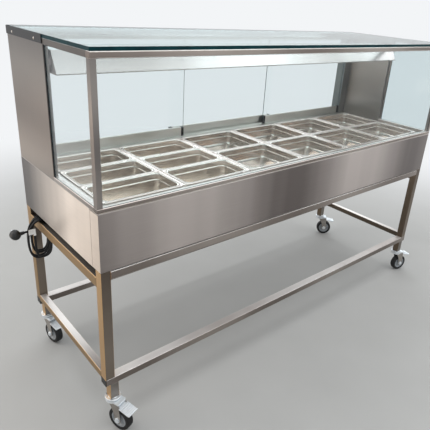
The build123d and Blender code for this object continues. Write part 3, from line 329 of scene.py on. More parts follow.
def arc(centre, radius, start, end, steps=8):
    # points on a circle from one angle to another, in degrees
    angle = np.radians(np.linspace(start, end, steps))
    return (np.array(centre) + radius * np.stack([np.cos(angle), np.sin(angle)], axis=-1)).tolist()


def gather(shapes):
    # several shapes as one list of points and faces
    starts = np.cumsum([0] + [len(points) for points, _ in shapes[:-1]]).tolist()
    faces = [[corner + start for corner in face] for start, (_, part) in zip(starts, shapes) for face in part]
    return np.concatenate([points for points, _ in shapes]), faces


# angles in degrees; facing is the least share of a face's normal that counts as looking along an axis
shading = {"sharp": 42, "bevelFrom": 35, "bevelSteps": 3, "facing": 0.6}
# weights of x, y, z in the grain map: the first row runs across the scratches, the second along them
grainWeights = {"x": ((0.1, 1, 1), (1, 0.13, -0.11)), "y": ((1, 0.1, 1), (0.13, 1, -0.11)),
                "z": ((1, 1, 0.1), (0.13, -0.11, 1))}


def addPiece(name, groups, instead, body="trolley", bevel=0.0, wall=0.0):
    # groups are (finish, grain, shapes in body millimetres), and may end with (axis, finish, grain) for
    # the faces that look along that axis; they become one mesh in the shared frame
    parts = [gather(group[2]) for group in groups]
    points, faces = gather(parts)
    points = (points + bodyMiddle) * mm
    mesh = bpy.data.meshes.new(name)
    mesh.from_pydata(points.tolist(), [], faces)
    mesh.polygons.foreach_set("use_smooth", np.ones(len(faces), bool))
    normals = np.empty(3 * len(faces), np.float32)
    mesh.polygons.foreach_get("normal", normals)
    looks = np.abs(normals.reshape(-1, 3)) > shading["facing"]
    chosen, grains, start = np.zeros(len(faces), np.int32), [], 0
    for (finish, grain, _, *turned), (_, part) in zip(groups, parts):
        span = slice(start, start + len(part))
        chosen[span] = len(grains)
        for axis, other, otherGrain in [(None, finish, grain)] + turned:
            if axis:
                chosen[span][looks[span, "xyz".index(axis)]] = len(grains)
            mesh.materials.append(other)
            grains.append(otherGrain or "x")
        start += len(part)
    mesh.polygons.foreach_set("material_index", chosen)
    corner = np.empty(len(mesh.loops), np.int32)
    mesh.loops.foreach_get("vertex_index", corner)
    sides = np.empty(len(faces), np.int32)
    mesh.polygons.foreach_get("loop_total", sides)
    weights = np.array([grainWeights[grain] for grain in grains], float)[np.repeat(chosen, sides)]
    flat = np.einsum("lij,lj->li", weights, points[corner])
    mesh.uv_layers.new(name="grain").data.foreach_set("uv", flat.astype(np.float32).ravel())
    mesh.set_sharp_from_angle(angle=np.radians(shading["sharp"]))
    mesh.update()
    piece = addObject(name, mesh)
    if wall:
        sheet = piece.modifiers.new("wall", "SOLIDIFY")
        sheet.thickness = wall * mm
        sheet.offset = -1
    if bevel:
        rounding = piece.modifiers.new("rounding", "BEVEL")
        rounding.width = bevel * mm
        rounding.segments = shading["bevelSteps"]
        rounding.limit_method = "ANGLE"
        rounding.angle_limit = np.radians(shading["bevelFrom"])
        rounding.harden_normals = True
    if not wall and not bevel:
        flatten = piece.modifiers.new("normals", "WEIGHTED_NORMAL")
        flatten.keep_sharp = True
    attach(piece, body)
    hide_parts(instead)
    return piece


# mains lead, wound over the left upper side rail, ends in its plug
lead = {"diameter": 9.0, "gland": (-987.0, 250.0), "hub": (-1035.0, 250.0), "pitch": 11.5, "perQuarter": 6,
        "inner": (29, 28, 26, 29, 26), "outer": (40, 58, 46, 64, 40), "bottoms": (526, 508, 530, 512, 518),
        "middle": 600.0, "top": 690.0, "fullness": 1.25, "length": 2.14}


def windLead(lead):
    # each turn has a station at its inner side, bottom, outer side and top; a cubic joins each to the
    # next, leaving and arriving along the stations' own directions with a speed of fullness times the
    # distance between the two; the last turn stops at its outer side
    turns = len(lead["inner"])
    stations = 4 * turns - 1
    inner, outer, bottom = (np.array(lead[key], float) for key in ("inner", "outer", "bottoms"))
    level, crest = np.full(turns, lead["middle"]), np.full(turns, lead["top"])
    side = np.stack([inner, (inner - outer) / 2, -outer, np.zeros(turns)], axis=-1).ravel()[:stations]
    height = np.stack([level, bottom, level, crest], axis=-1).ravel()[:stations]
    hubX, hubY = lead["hub"]
    place = np.stack([hubX + side, hubY - lead["pitch"] / 4 * np.arange(stations), height], axis=-1)
    way = np.tile([-zWay, -xWay, zWay, xWay], (turns, 1))[:stations]
    speed = lead["fullness"] * np.linalg.norm(np.diff(place, axis=0), axis=-1)[:, None, None]
    t = np.arange(lead["perQuarter"])[None, :, None] / lead["perQuarter"]
    coil = (2 * t ** 3 - 3 * t ** 2 + 1) * place[:-1, None] + (3 * t ** 2 - 2 * t ** 3) * place[1:, None]
    coil = coil + speed * ((t ** 3 - 2 * t ** 2 + t) * way[:-1, None] + (t ** 3 - t ** 2) * way[1:, None])
    # the lead comes down out of the gland to the first turn, and leaves the last one towards the plug
    glandX, glandY = lead["gland"]
    startX, endX, endY = place[0, 0], place[-1, 0], place[-1, 1]
    begin = [[glandX, glandY, 690], [glandX, glandY, 674], [startX, hubY, 646], [startX, hubY, 612]]
    end = [[endX, endY, 612], [endX, endY, 638], [endX - 20, endY - 2, 655], [endX - 42, endY - 4, 654]]
    return np.concatenate([begin, coil.reshape(-1, 3), end])


leadRoute = windLead(lead)
leadPoints = (leadRoute + bodyMiddle) * mm
leadData = bpy.data.curves.new("mainsLead", "CURVE")
leadData.dimensions = "3D"
leadSpline = leadData.splines.new("NURBS")
leadSpline.points.add(len(leadPoints) - 1)
leadSpline.points.foreach_set("co", np.column_stack([leadPoints, np.ones(len(leadPoints))]).ravel())
leadSpline.order_u = 3
leadSpline.use_endpoint_u = True
leadSpline.resolution_u = 6
leadData.bevel_depth = lead["diameter"] / 2 * mm
leadData.bevel_resolution = 4
leadData.use_fill_caps = True
leadData.materials.append(leadRubber)
mainsLead = addObject("mainsLead", leadData)
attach(mainsLead, "trolley")
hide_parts("cord_leads", "cord_coil")

# angled plug: a ribbed strain relief in line with the lead, a round body with a domed back, two rear pins
plug = {"radius": 20.0, "depth": 32.0, "relief": 14.0, "pinApart": 19.0}
plugStart = leadRoute[-1]
plugWay = (leadRoute[-1] - leadRoute[-2]) / np.linalg.norm(leadRoute[-1] - leadRoute[-2])
pinWay = np.cross(plugWay, zWay)
pinWay = pinWay / np.linalg.norm(pinWay)
plugUp = np.cross(pinWay, plugWay)
plugMiddle = plugStart + plugWay * (plug["relief"] + plug["radius"])
reliefProfile = [(4.6, 0), (6.3, 0.3), (6.7, 1), (6.7, 2.6), (6.0, 3.1), (6.0, 4.1), (7.0, 4.6), (7.0, 6.4),
                 (6.3, 6.9), (6.3, 7.9), (7.3, 8.4), (7.3, 10.2), (6.6, 10.7), (6.6, 11.7), (7.6, 12.2),
                 (8.0, 16), (8.4, 22), (0.4, 22)]
domeProfile = [(0.4, -16), (5, -15.8), (9, -15.1), (13, -13.3), (16, -10.8), (18.3, -7.4), (19.6, -3.4),
               (20, 0.6), (20, 3.4), (19.5, 3.8), (19.5, 4.8), (20, 5.2), (20, 12), (19.3, 14.4),
               (17.6, 15.7), (15, 16), (0.4, 16)]
pinProfile = [(0.3, -2), (2.4, -2), (2.4, 16.5), (2.0, 18.2), (1.2, 19), (0.2, 19)]
pins = [lathe(pinProfile, plugMiddle + pinWay * plug["depth"] / 2 + plugUp * side * plug["pinApart"] / 2,
              pinWay, plugWay, 20) for side in (-1, 1)]
plugShapes = [lathe(reliefProfile, plugStart, plugWay, plugUp, 40),
              lathe(domeProfile, plugMiddle, pinWay, plugWay, 48)]
plugPiece = addPiece("mainsPlug", [(blackPlastic, None, plugShapes), (zincPlate, None, pins)],
                     "cord_plug")

# bare tag on the lead, held by a narrow band round it
tag = {"width": 28.0, "height": 24.0, "curl": 1.6, "sheet": 0.8, "taper": 0.05, "clear": 2.9, "aside": 12.0,
       "above": 38.0, "columns": 17, "rows": 9}
leadEnd = leadRoute[-4]


def tagShape(tag):
    # a card bent a little: y falls away with the square of the distance from the fold, and the ends taper
    u, v = np.meshgrid(np.linspace(-1, 1, tag["columns"]), np.linspace(-1, 1, tag["rows"]))
    middle = leadEnd + np.array([-tag["aside"], -lead["diameter"] / 2 - tag["clear"], tag["above"]])
    sheets = np.stack([np.stack([tag["width"] / 2 * u, off + tag["curl"] * (0.3 - u ** 2) * 0.5,
                                 tag["height"] / 2 * v * (1 - tag["taper"] * u ** 2)], axis=-1) + middle
                       for off in (-tag["sheet"], 0.0)])
    index = np.arange(u.size).reshape(u.shape)
    faces = gridFaces(index)
    rim = np.concatenate([index[0], index[1:, -1], index[-1, -2::-1], index[-2:0:-1, 0]])
    sides = np.stack([rim, rim + u.size, np.roll(rim + u.size, -1), np.roll(rim, -1)], axis=-1)
    return sheets.reshape(-1, 3), np.concatenate([faces, faces[:, ::-1] + u.size, sides]).tolist()


bandProfile = bothSides([(4.6, -2), (5.6, -2), (5.9, -1.6)])
tagBand = lathe(bandProfile, leadEnd + [0, 0, 20], zWay, xWay, 32, True)
tagNeck = block(leadEnd + [-5.5, -8.1, 18.2], leadEnd + [2.5, -4.8, 30], 0.4, "z")
tagPiece = addPiece("leadTag", [(tagCard, None, [tagShape(tag), tagBand, tagNeck])], "cord_tag")

# cord gland: locknut, hexagon and a ribbed nut that tapers down to the lead
gland = {"hexagon": 13.0, "hexHeight": 6.0, "nutLength": 16.0}
glandAt = np.array([*lead["gland"], cabinetFloor])
hexagon = arc((0, 0), gland["hexagon"], 0, 300, 6)
glandNut = [(0.4, 0), (5.4, 0), (7.6, 0.6), (8.4, 2.5), (9.6, 9), (10.3, 14), (10.5, 16), (0.4, 16)]
glandThread = [(0.4, -1), (8, -1), (8, 11.2), (7.4, 12), (0.4, 12)]
nutAt = glandAt - [0, 0, gland["hexHeight"] + gland["nutLength"]]
addPiece("leadGland", [(blackPlastic, None, [
    drawn(hexagon, glandAt - [0, 0, gland["hexHeight"]], xWay, yWay, gland["hexHeight"]),
    lathe(glandNut, nutAt, zWay, xWay, 72, lobes=18, swing=0.02),
    lathe(glandThread, glandAt, zWay, xWay, 32)])], "cord_gland", bevel=0.5)
print("lead wound")

# stand of welded square tube with dressed corners
stand = {"leg": 38.0, "rail": 30.0, "corner": 3.0, "lowerTop": 244.0, "lowerDepth": 38.0,
         "lowerSideTop": 265.0, "upperSideTop": 677.0, "upperSideTall": 40.0, "upperTop": 704.0, "cap": 3.0,
         "socket": 36.0, "socketBase": 145.0, "castorX": 1015.0, "castorY": 322.0}


def standTubes(stand):
    # legs, castor sockets, long rails and side rails, each a rounded rectangle carried along its length
    leg, rail, deep, corner = stand["leg"], stand["rail"], stand["lowerDepth"], stand["corner"]
    low, top, cap = stand["lowerTop"], stand["upperTop"], stand["cap"]
    legs = [block((x, y, low), (x + leg, y + leg, cabinetFloor), corner, "z", 0.6)
            for x in (left, right - leg) for y in (front, back - leg)]
    half, castorX, castorY = stand["socket"] / 2, stand["castorX"], stand["castorY"]
    sockets = [block((x - half, y - half, stand["socketBase"]), (x + half, y + half, low - rail),
                     corner, "z", 0.8) for x in (-castorX, castorX) for y in (-castorY, castorY)]
    longRails = [block((left + cap, y, low - rail), (right - cap, y + deep, low), corner, "x", 0.3)
                 for y in (front, back - deep)]
    longRails += [block((left + leg, y, top - rail), (right - leg, y + rail, top), corner, "x", 0.3)
                  for y in (front, back - rail)]
    lowRails, highRails = (
        [block((x, front + leg, high - tall), (x + rail, back - leg, high), corner, "y", 0.3)
         for x in (left, right - rail)]
        for high, tall in ((stand["lowerSideTop"], rail), (stand["upperSideTop"], stand["upperSideTall"])))
    # painted reflection: the faces that look along x take warm tones, duller on the rear legs and the side
    # rails; rail tops take the paler copies, painted light
    paintedWarmSides, paintedDullSides = ("x", legSidePaintedReflection, "z"), ("x", railSidePaintedReflection, "z")
    return [(legSteel, "z", legs[::2], paintedWarmSides), (legSteel, "z", legs[1::2], paintedDullSides),
            (paintedShadeSocketSteel, "z", sockets, paintedWarmSides),
            (railFaceX, "x", longRails, ("z", railTopX, "x"), paintedWarmSides),
            (railFaceY, "y", lowRails, ("z", railTopY, "y"), paintedDullSides), (railFaceY, "y", highRails, paintedDullSides)]


addPiece("weldedStand", standTubes(stand), "stand_frame")
railCaps = [block((left, y, stand["lowerTop"] - stand["rail"]),
                  (left + stand["cap"], y + stand["lowerDepth"], stand["lowerTop"]), 2.5, "x", 1.0)
            for y in (front, back - stand["lowerDepth"])]
addPiece("railEndCaps", [(blackPlastic, None, bothEnds(railCaps))], "rail_end_caps")
print("stand made")

# castors: pressed zinc heads and forks, grey wheels with rubber tyres, stepped brake pedals
castor = {"turns": {"front_left": -71, "rear_left": -79, "front_right": -15, "rear_right": -42},
          "trail": 38.0, "wheel": 50.0, "forkInner": 18.5, "sheet": 3.0, "crownBase": 126.0,
          "crownTop": 135.0, "crown": 29.0, "crownReach": 42.0, "crownCorner": 5.0, "boss": 15.0,
          "axle": 6.0, "washer": 11.5, "washerThick": 1.2, "boltHead": 10.0, "headThick": 4.8,
          "pinAhead": 30.0, "pinHeight": 119.0, "pedalHalf": 25.0}
cornerSigns = {"front_left": (-1, -1), "rear_left": (-1, 1), "front_right": (1, -1), "rear_right": (1, 1)}
headProfile = [(0.4, 121), (9.5, 121), (9.5, 125.6), (6, 125.7), (6, 135.3), (22, 135.3), (22, 137),
               (28.5, 137), (30.4, 138), (31, 140), (31, 142.5), (30.4, 144.4), (29, 145), (27.6, 144.4),
               (26.6, 143), (25, 142.4), (19, 142.6), (17, 144.9), (8, 145), (8, 186), (0.4, 186)]
tyreProfile = bothSides([(35.1, -14.2), (36.2, -15.4), (38, -15.8), (45.4, -16), (47.8, -15),
                         (49.4, -12.6), (50, -9.4)])
centreProfile = bothSides([(6.3, -17.5), (12.4, -17.5), (14, -16), (14.6, -11), (17, -9), (26, -9),
                           (28.4, -10.5), (29.6, -13.4), (31, -14), (34.9, -14)])


def castorFrame(corner):
    # the swivel's place on the floor, the way the fork trails and the way of the axle
    turn = np.radians(castor["turns"][corner])
    signX, signY = cornerSigns[corner]
    spot = np.array([signX * stand["castorX"], signY * stand["castorY"], 0.0])
    return spot, np.array([np.cos(turn), np.sin(turn), 0.0]), np.array([np.sin(turn), -np.cos(turn), 0.0])


def forkShapes(spot, ahead, across):
    # crown plate, two cheeks that sweep down to the axle along a quadratic curve, and the axle bolt
    inner, sheet, trail, hub = castor["forkInner"], castor["sheet"], castor["trail"], castor["wheel"]
    outer, base = inner + sheet, castor["crownBase"]
    reach, bend = castor["crownReach"], castor["crownCorner"]
    wide = np.degrees(np.arcsin(outer / castor["crown"]))
    crown = arc((0, 0), castor["crown"], wide, 360 - wide, 32)
    crown += arc((reach, bend - outer), bend, -90, 0, 5) + arc((reach, outer - bend), bend, 0, 90, 5)
    sweep = np.linspace(1, 0, 10)[:, None]
    start, turn, stop = np.array([23.4, hub + 3.5]), np.array([20.0, hub + 50.0]), np.array([-12.0, base])
    rearEdge = (1 - sweep) ** 2 * start + 2 * sweep * (1 - sweep) * turn + sweep ** 2 * stop
    cheek = rearEdge.tolist() + arc((trail, hub), castor["boss"], 170, 370, 18) + [(reach + bend, base)]
    plate = drawn(crown, spot + base * zWay, ahead, np.cross(zWay, ahead), castor["crownTop"] - base)
    cheeks = [drawn(cheek, spot + across * offset, ahead, zWay, sheet) for offset in (-outer, inner)]
    washer = arc((trail, hub), castor["washer"], 0, 345, 24)
    hexHead = arc((trail, hub), castor["boltHead"], 0, 300, 6)
    axle = arc((trail, hub), castor["axle"], 0, 345, 24)
    thin, thick = castor["washerThick"], castor["headThick"]
    bolt = [drawn(outline, spot + across * low, ahead, zWay, length) for low, outline, length in (
        (outer, washer, thin), (outer + thin, hexHead, thick), (-outer - thin, washer, thin),
        (-outer - thin - thick, hexHead, thick), (-outer, axle, 2 * outer))]
    # the cheeks take the darker copy of the zinc: painted shade
    return [(zincPlate, None, [plate] + bolt), (paintedShadeZinc, None, cheeks)]


def pedalShapes(spot, ahead, across):
    # arm from the pin, a broad sloping tread with five raised ribs, and a turned-up toe
    armHalf, half = castor["forkInner"] - 1, castor["pedalHalf"]
    pin, pinHeight = castor["pinAhead"], castor["pinHeight"]
    arm = [(pin, 116), (53, 114.2), (53, 118.2), (pin, 123.4)]
    barrel = arc((pin, pinHeight), 4.6, 0, 345, 24)
    spindle = arc((pin, pinHeight), 2.5, 0, 340, 18)
    near, far, nearTop, farTop = 51, 95, 118.7, 108.7
    slope = (farTop - nearTop) / (far - near)
    ribs = [(at + step, nearTop + slope * (at + step - near) + rise) for at in (90, 82, 74, 66, 58)
            for step, rise in ((2, 0), (1.4, 1.3), (-1.4, 1.3), (-2, 0))]
    toe = [(103, 107), (102, 110.5)]
    tread = [(near, nearTop - 4), (far, farTop - 4)] + toe + [(far, farTop)] + ribs + [(near, nearTop)]
    reach = castor["forkInner"] + castor["sheet"] - 0.1
    return [drawn(outline, spot - across * side, ahead, zWay, 2 * side)
            for outline, side in ((arm, armHalf), (barrel, armHalf), (tread, half), (spindle, reach))]


heads = []
for corner in cornerSigns:
    spot, ahead, across = castorFrame(corner)
    heads.append(lathe(headProfile, spot, zWay, xWay, 56))
    hub = spot + ahead * castor["trail"] + zWay * castor["wheel"]
    addPiece(corner + "Wheel", [(wheelGrey, None, [lathe(centreProfile, hub, across, ahead, 56, True)]),
                                (tyreRubber, None, [lathe(tyreProfile, hub, across, ahead, 72, True)])],
             corner + "_wheel", corner + "_wheel")
    addPiece(corner + "Fork", forkShapes(spot, ahead, across), corner + "_fork",
             corner + "_castor", bevel=0.8)
    addPiece(corner + "Pedal", [(zincPlate, None, pedalShapes(spot, ahead, across))], corner + "_pedal",
             corner + "_pedal", bevel=0.6)
addPiece("castorHeads", [(zincPlate, None, heads)], "castor_heads")
print("castors made")

# cabinet: front panel folded round both corners, side panels set against it with a fine seam
cabinet = {"sheet": 1.5, "bend": 3.0, "return": 55.0, "seam": 2.6, "flange": 15.0, "fold": 4.0}


def frontPanel(cabinet):
    # plan outline of one folded sheet: the outer path with its two bends, then the inner path back
    sheet, bend, rear = cabinet["sheet"], cabinet["bend"], front + cabinet["return"]
    inside, leftBend, rightBend = bend - sheet, (left + bend, front + bend), (right - bend, front + bend)
    outline = [(left, rear)] + arc(leftBend, bend, 180, 270, 6)
    outline += arc(rightBend, bend, 270, 360, 6) + [(right, rear)]
    outline += [(right - sheet, rear)] + arc(rightBend, inside, 360, 270, 6)
    outline += arc(leftBend, inside, 270, 180, 6) + [(left + sheet, rear)]
    fold = cabinet["fold"]
    skin = drawn(outline, (0, 0, cabinetFloor + fold / 2), xWay, yWay, cabinetTop - cabinetFloor - fold)
    edges = [block((left + bend, front, base), (right - bend, front + fold, base + fold),
                   0.48 * fold, "x", 0.3) for base in (cabinetFloor, cabinetTop - fold)]
    flange = block((left + bend, front + sheet, cabinetTop - sheet),
                   (right - bend, front + sheet + cabinet["flange"], cabinetTop), 0.5, "x")
    # the returns take the side panels' painted reflection tones, the fold beads a paler copy: painted
    # highlight
    return [(panelSteel, "x", [skin, flange], ("x", sideSteel, "y")), (paintedHighlightFoldSteel, "x", edges)]


addPiece("frontPanel", frontPanel(cabinet), "front_panel")
sideLow = (left, front + cabinet["return"] + cabinet["seam"], cabinetFloor)
sideHigh = (left + cabinet["sheet"], back - cabinet["sheet"] - cabinet["seam"], cabinetTop)
sideSheets = bothEnds([block(sideLow, sideHigh, 0.6, "y")])
addPiece("sidePanels", [(sideSteel, "y", sideSheets)], "side_panels")
print("cabinet made")

# pans that lift out: rolled rim, short wall, stacking ledge, wall and rounded floor
pans = {"columns": 6, "deepColumns": 2, "pitch": 335.0, "middleY": -18.0, "field": 530.0, "width": 325.0,
        "gap": 0.8, "rimTop": 932.5, "rimCorner": 12.0, "bodyCorner": 24.0, "border": 14.0, "ledgeAt": 24.0,
        "ledge": 4.0, "floorCurve": 11.0, "thirdDepth": 100.0, "halfDepth": 65.0, "floorRise": 1.0,
        "sheet": 0.8, "skirt": 4.7, "edgeRoll": 1.8, "shoulder": 3.0, "ledgeBend": 1.6}


def panShape(middleX, middleY, rimDepth, depth):
    # rounded rectangles stacked along the path of one wall; inset is measured from the edge of the rim
    border, ledgeAt, curve = pans["border"], pans["ledgeAt"], pans["floorCurve"]
    roll, shoulder, bend = pans["edgeRoll"], pans["shoulder"], pans["ledgeBend"]
    inner, corner, floorZ = border + pans["ledge"], pans["bodyCorner"], pans["floorRise"] - depth
    rim = [(0, -pans["skirt"])] + arc((roll, -roll), roll, 180, 90, 6) + [(border - shoulder - 1, 0)]
    bowl = arc((border - shoulder, -shoulder), shoulder, 90, 0, 6)
    bowl += arc((border + bend, bend - ledgeAt), bend, 180, 270, 6)
    bowl += arc((inner - bend, -ledgeAt - bend), bend, 90, 0, 6)
    bowl += arc((inner + curve, floorZ + curve), curve, 180, 270, 6)
    inset, height = np.array(rim + bowl).T
    radius = np.interp(inset, [0, border, inner, inner + curve],
                       [pans["rimCorner"], corner - 1, corner - 5, corner - 11])
    rings = [np.column_stack([roundRect(pans["width"] / 2 - d, rimDepth / 2 - d, r, 8),
                              np.full(32, pans["rimTop"] + h)]) for d, h, r in zip(inset, height, radius)]
    rings = np.stack(rings) + np.array([middleX, middleY, 0.0])
    return loft(rings[:len(rim)], False, False), loft(rings[len(rim) - 1:], capFirst=False)


for column in range(pans["columns"]):
    # the deep pans take the paler copy of the pan steel: painted light
    if column < pans["deepColumns"]:
        rows, panDepth, finish = 3, pans["thirdDepth"], paintedLightDeepPanSteel
    else:
        rows, panDepth, finish = 2, pans["halfDepth"], panSteel
    rowPitch = pans["field"] / rows
    panX = (column - (pans["columns"] - 1) / 2) * pans["pitch"]
    for row in range(rows):
        panY = pans["middleY"] + (row - (rows - 1) / 2) * rowPitch
        panName = "pan_" + str(column + 1) + "_" + str(row + 1)
        rim, bowl = panShape(panX, panY, rowPitch - pans["gap"], panDepth)
        addPiece("servingPan" + str(column + 1) + str(row + 1),
                 [(paintedHighlightRimSteel, None, [rim]), (finish, None, [bowl])],
                 panName, panName, wall=pans["sheet"])
print("pans made")

# frame of the glass case: sill, posts and top rails of small tube, flat boxed pillars and door jambs;
# a thin lip of each pillar covers the inner side of the seal
case = {"postWidth": 20.0, "postDepth": 25.0, "corner": 2.0, "jambInner": 975.0, "jambFront": 276.0,
        "glass": 6.0, "glassInset": 2.0, "sealInset": 0.5, "sealWidth": 12.0, "sealThickness": 8.0,
        "lipInset": 9.0, "lipSheet": 1.0, "lipBehind": 4.0, "clear": 0.3}
frameTop, sealFront = topRailTop - case["clear"], pillarFront - case["sealWidth"]


def caseTubes(case):
    # each tube is a rounded rectangle carried along its length; those at the left end are mirrored
    wide, deep, corner = case["postWidth"], case["postDepth"], case["corner"]
    levels = ((flangeTop, sillTop), (topRailBase, frameTop))
    longTubes = [block((left, front, low), (right, front + deep, high), 2 * corner, "x", 1.0)
                 for low, high in levels]
    rearTube = block((left + pillarThickness, case["jambFront"], doorHead),
                     (right - pillarThickness, back, frameTop), corner, "x", 0.4)
    sills, rails = (bothEnds([block((left, front + deep, low), (left + wide, pillarFront, high),
                                    corner, "y", 0.3)]) for low, high in levels)
    posts = bothEnds([block((left, front, sillTop), (left + wide, front + deep, topRailBase),
                            corner, "z", 0.3)])
    # tube tops take near-white copies, painted highlight; the side rails' x faces the dark copy, painted
    # shade; the rear head tube a near-white copy, painted light
    return [(railFaceX, "x", longTubes, ("z", sillTopSteel, "x")),
            (railFaceY, "y", sills, ("z", sillTopSteel, "y")), (railFaceY, "y", rails, ("x", paintedShadeSteel, "y")),
            (pillarSteel, "z", posts), (paintedLightHeadSteel, "x", [rearTube])]


addPiece("caseTubes", caseTubes(case), "case_frame")
pillars = bothEnds([block((left, pillarFront, flangeTop), (left + pillarThickness, back, frameTop),
                          2.5, "z", 0.8)])
jambs = bothEnds([block((left + pillarThickness, case["jambFront"], flangeTop),
                        (-case["jambInner"], back, doorHead), 2.0, "z", 0.4)])
lipAt = left + case["lipInset"]
lips = bothEnds([block((lipAt, sealFront, sillTop),
                       (lipAt + case["lipSheet"], pillarFront + case["lipBehind"], topRailBase), 0.4, "z")])
# the right-hand pillar, the lips and the jambs take a paler copy, painted light; the jambs' faces along x a
# dark one, painted shade
addPiece("rearPillars", [(pillarSteel, "z", pillars[:1]), (paintedLightInnerSteel, "z", pillars[1:] + lips),
                         (paintedLightInnerSteel, "z", jambs, ("x", paintedShadeJambSteel, "z"))], "rear_pillars")

# glass with polished edges
topPlate = block((left, front, topRailTop), (right, back, caseTop), 1.2, "x")
addPiece("topGlass", [(glassEdge, None, [topPlate], ("z", topPlateGlass, None))], "top_glass")
glassLow, glassHigh = sillTop + case["clear"], topRailBase - case["clear"]
paneIn, paneOut = case["glassInset"], case["glassInset"] + case["glass"]
paneEnd = right - case["postWidth"] - case["clear"]
frontPane = block((-paneEnd, front + paneIn, glassLow), (paneEnd, front + paneOut, glassHigh), 0.8, "x")
addPiece("frontGlass", [(glassEdge, None, [frontPane], ("y", paneGlass, None))], "case_glass")
endPanes = bothEnds([block((left + paneIn, front + case["postDepth"] + case["clear"], glassLow),
                           (left + paneOut, sealFront - case["clear"], glassHigh), 0.8, "y")])
addPiece("endGlass", [(glassEdge, None, endPanes, ("x", paneGlass, None))], "case_glass")
sealAt = left + case["sealInset"]
seals = bothEnds([block((sealAt, sealFront, glassLow),
                        (sealAt + case["sealThickness"], pillarFront, glassHigh), 1.5, "z")])
addPiece("glassSeals", [(sealRubber, None, seals)], "glass_seals")
print("case made")

# dark brackets that clamp the top plate, each with two slotted screws
bracket = {"thickness": 3.0, "base": 1404.0, "top": 1433.0, "screwY": (66.0, 276.0), "screwZ": 1415.0,
           "head": 4.8, "headHeight": 2.2, "slot": 1.2, "slotDepth": 1.0}
bracketFace = left - bracket["thickness"]
plates = bothEnds([block((bracketFace, pillarFront, bracket["base"]), (left, back, bracket["top"]),
                         1.0, "y")])
addPiece("topBrackets", [(darkBracket, None, plates)], "end_brackets")


def screwHead(y):
    # a square grid drawn onto a disc; height = h (1 - 0.6 r^2), less the slot where it crosses the middle
    head, slot = bracket["head"], bracket["slot"] / 2 / bracket["head"]
    across = np.sort(np.concatenate([np.linspace(-1, 1, 21), np.array([-1.02, -0.98, 0.98, 1.02]) * slot]))
    u, v = np.meshgrid(across, np.linspace(-1, 1, 17))
    discU, discV = u * np.sqrt(1 - v ** 2 / 2), v * np.sqrt(1 - u ** 2 / 2)
    height = bracket["headHeight"] * (1 - 0.6 * (discU ** 2 + discV ** 2))
    height = np.where(np.abs(u) < slot, height - bracket["slotDepth"], height)
    height = np.where(np.maximum(np.abs(u), np.abs(v)) > 0.999, 0.0, height)
    points = np.stack([bracketFace - height, y + head * discU, bracket["screwZ"] + head * discV], axis=-1)
    faces = gridFaces(np.arange(u.size).reshape(u.shape).T)
    return points.reshape(-1, 3), faces.tolist()


# painted shade: the screw heads take the darker copy of the zinc
screws = bothEnds([screwHead(y) for y in bracket["screwY"]])
addPiece("bracketScrews", [(paintedShadeZinc, None, screws)], "bracket_screws")

# lamp hood: one folded trough with end plates, open below, carried on a block against each pillar
hood = {"half": 1024.0, "front": -40.0, "back": 112.0, "base": 1308.0, "top": 1386.0, "slant": 36.0,
        "sheet": 1.2, "lip": 10.0, "innerFoot": 2.1, "innerHead": 0.8, "hem": 3.6, "blockWide": 50.0,
        "blockHigh": 24.0}


def hoodShapes(hood):
    # section of the folded sheet: from lip to lip along the outside and back along the inside
    sheet, near, far, base, top = hood["sheet"], hood["front"], hood["back"], hood["base"], hood["top"]
    slant, lip, half, hem = hood["slant"], hood["lip"], hood["half"], hood["hem"]
    seat, roof, foot, head = base + sheet, top - sheet, hood["innerFoot"], slant + hood["innerHead"]
    outside = np.array([(near + lip, base), (near, base), (near + slant, top), (far - slant, top),
                        (far, base), (far - lip, base)])
    inside = np.array([(far - lip, seat), (far - foot, seat), (far - head, roof), (near + head, roof),
                       (near + foot, seat), (near + lip, seat)])
    section = np.concatenate([outside, inside])[::-1]
    skin = drawn(section, (-half, 0, 0), yWay, zWay, 2 * half)
    endPlate = drawn(outside[[1, 4, 3, 2]], (-half, 0, 0), yWay, zWay, sheet)
    middle = np.array([0, (near + far) / 2, (base + top) / 2])
    size = np.array([0, hood["blockWide"] / 2, hood["blockHigh"] / 2])
    carrier = block(middle - size + [left + pillarThickness, 0, 0], middle + size + [-half, 0, 0],
                    2.0, "x", 0.5)
    hems = [block((-half, y, base), (half, y + hem, base + hem), 0.48 * hem, "x", 0.3)
            for y in (near, far - hem)]
    # the hood takes the near-white copy, painted light; its hems take the darker rail steel
    return [(paintedLightHoodSteel, "x", [skin] + bothEnds([endPlate, carrier])), (railFaceX, "x", hems)]


addPiece("lampHood", hoodShapes(hood), "lamp_hood", bevel=0.5)

# infrared lamps: quartz tubes between ceramic holders that hang from the roof of the hood
lampTubes = {"count": 3, "gap": 150.0, "drop": 43.0, "holder": 22.0, "holderHalf": 10.0, "neckHalf": 7.0}
lampY, lampZ, tubes, holders = (hood["front"] + hood["back"]) / 2, hood["top"] - lampTubes["drop"], [], []
lampPitch = 2 * hood["half"] / lampTubes["count"]
half, hold = (lampPitch - lampTubes["gap"]) / 2, lampTubes["holder"]
wide, slim = lampTubes["holderHalf"], lampTubes["neckHalf"]
tubeProfile = bothSides([(0.3, 10 - half), (4.5, 12 - half), (5.5, 16 - half)])
for n in range(lampTubes["count"]):
    lampX = (n - (lampTubes["count"] - 1) / 2) * lampPitch
    tubes.append(lathe(tubeProfile, (lampX, lampY, lampZ), xWay, yWay, 24))
    for low in (lampX - half, lampX + half - hold):
        holders.append(block((low, lampY - wide, lampZ - wide), (low + hold, lampY + wide, lampZ + wide),
                             2.0, "x"))
        holders.append(block((low, lampY - slim, lampZ + wide - 1),
                             (low + hold, lampY + slim, hood["top"] - hood["sheet"]), 1.5, "z"))
addPiece("heatLamps", [(quartz, None, tubes), (ceramic, None, holders)], "heat_lamps")
print("hood made")

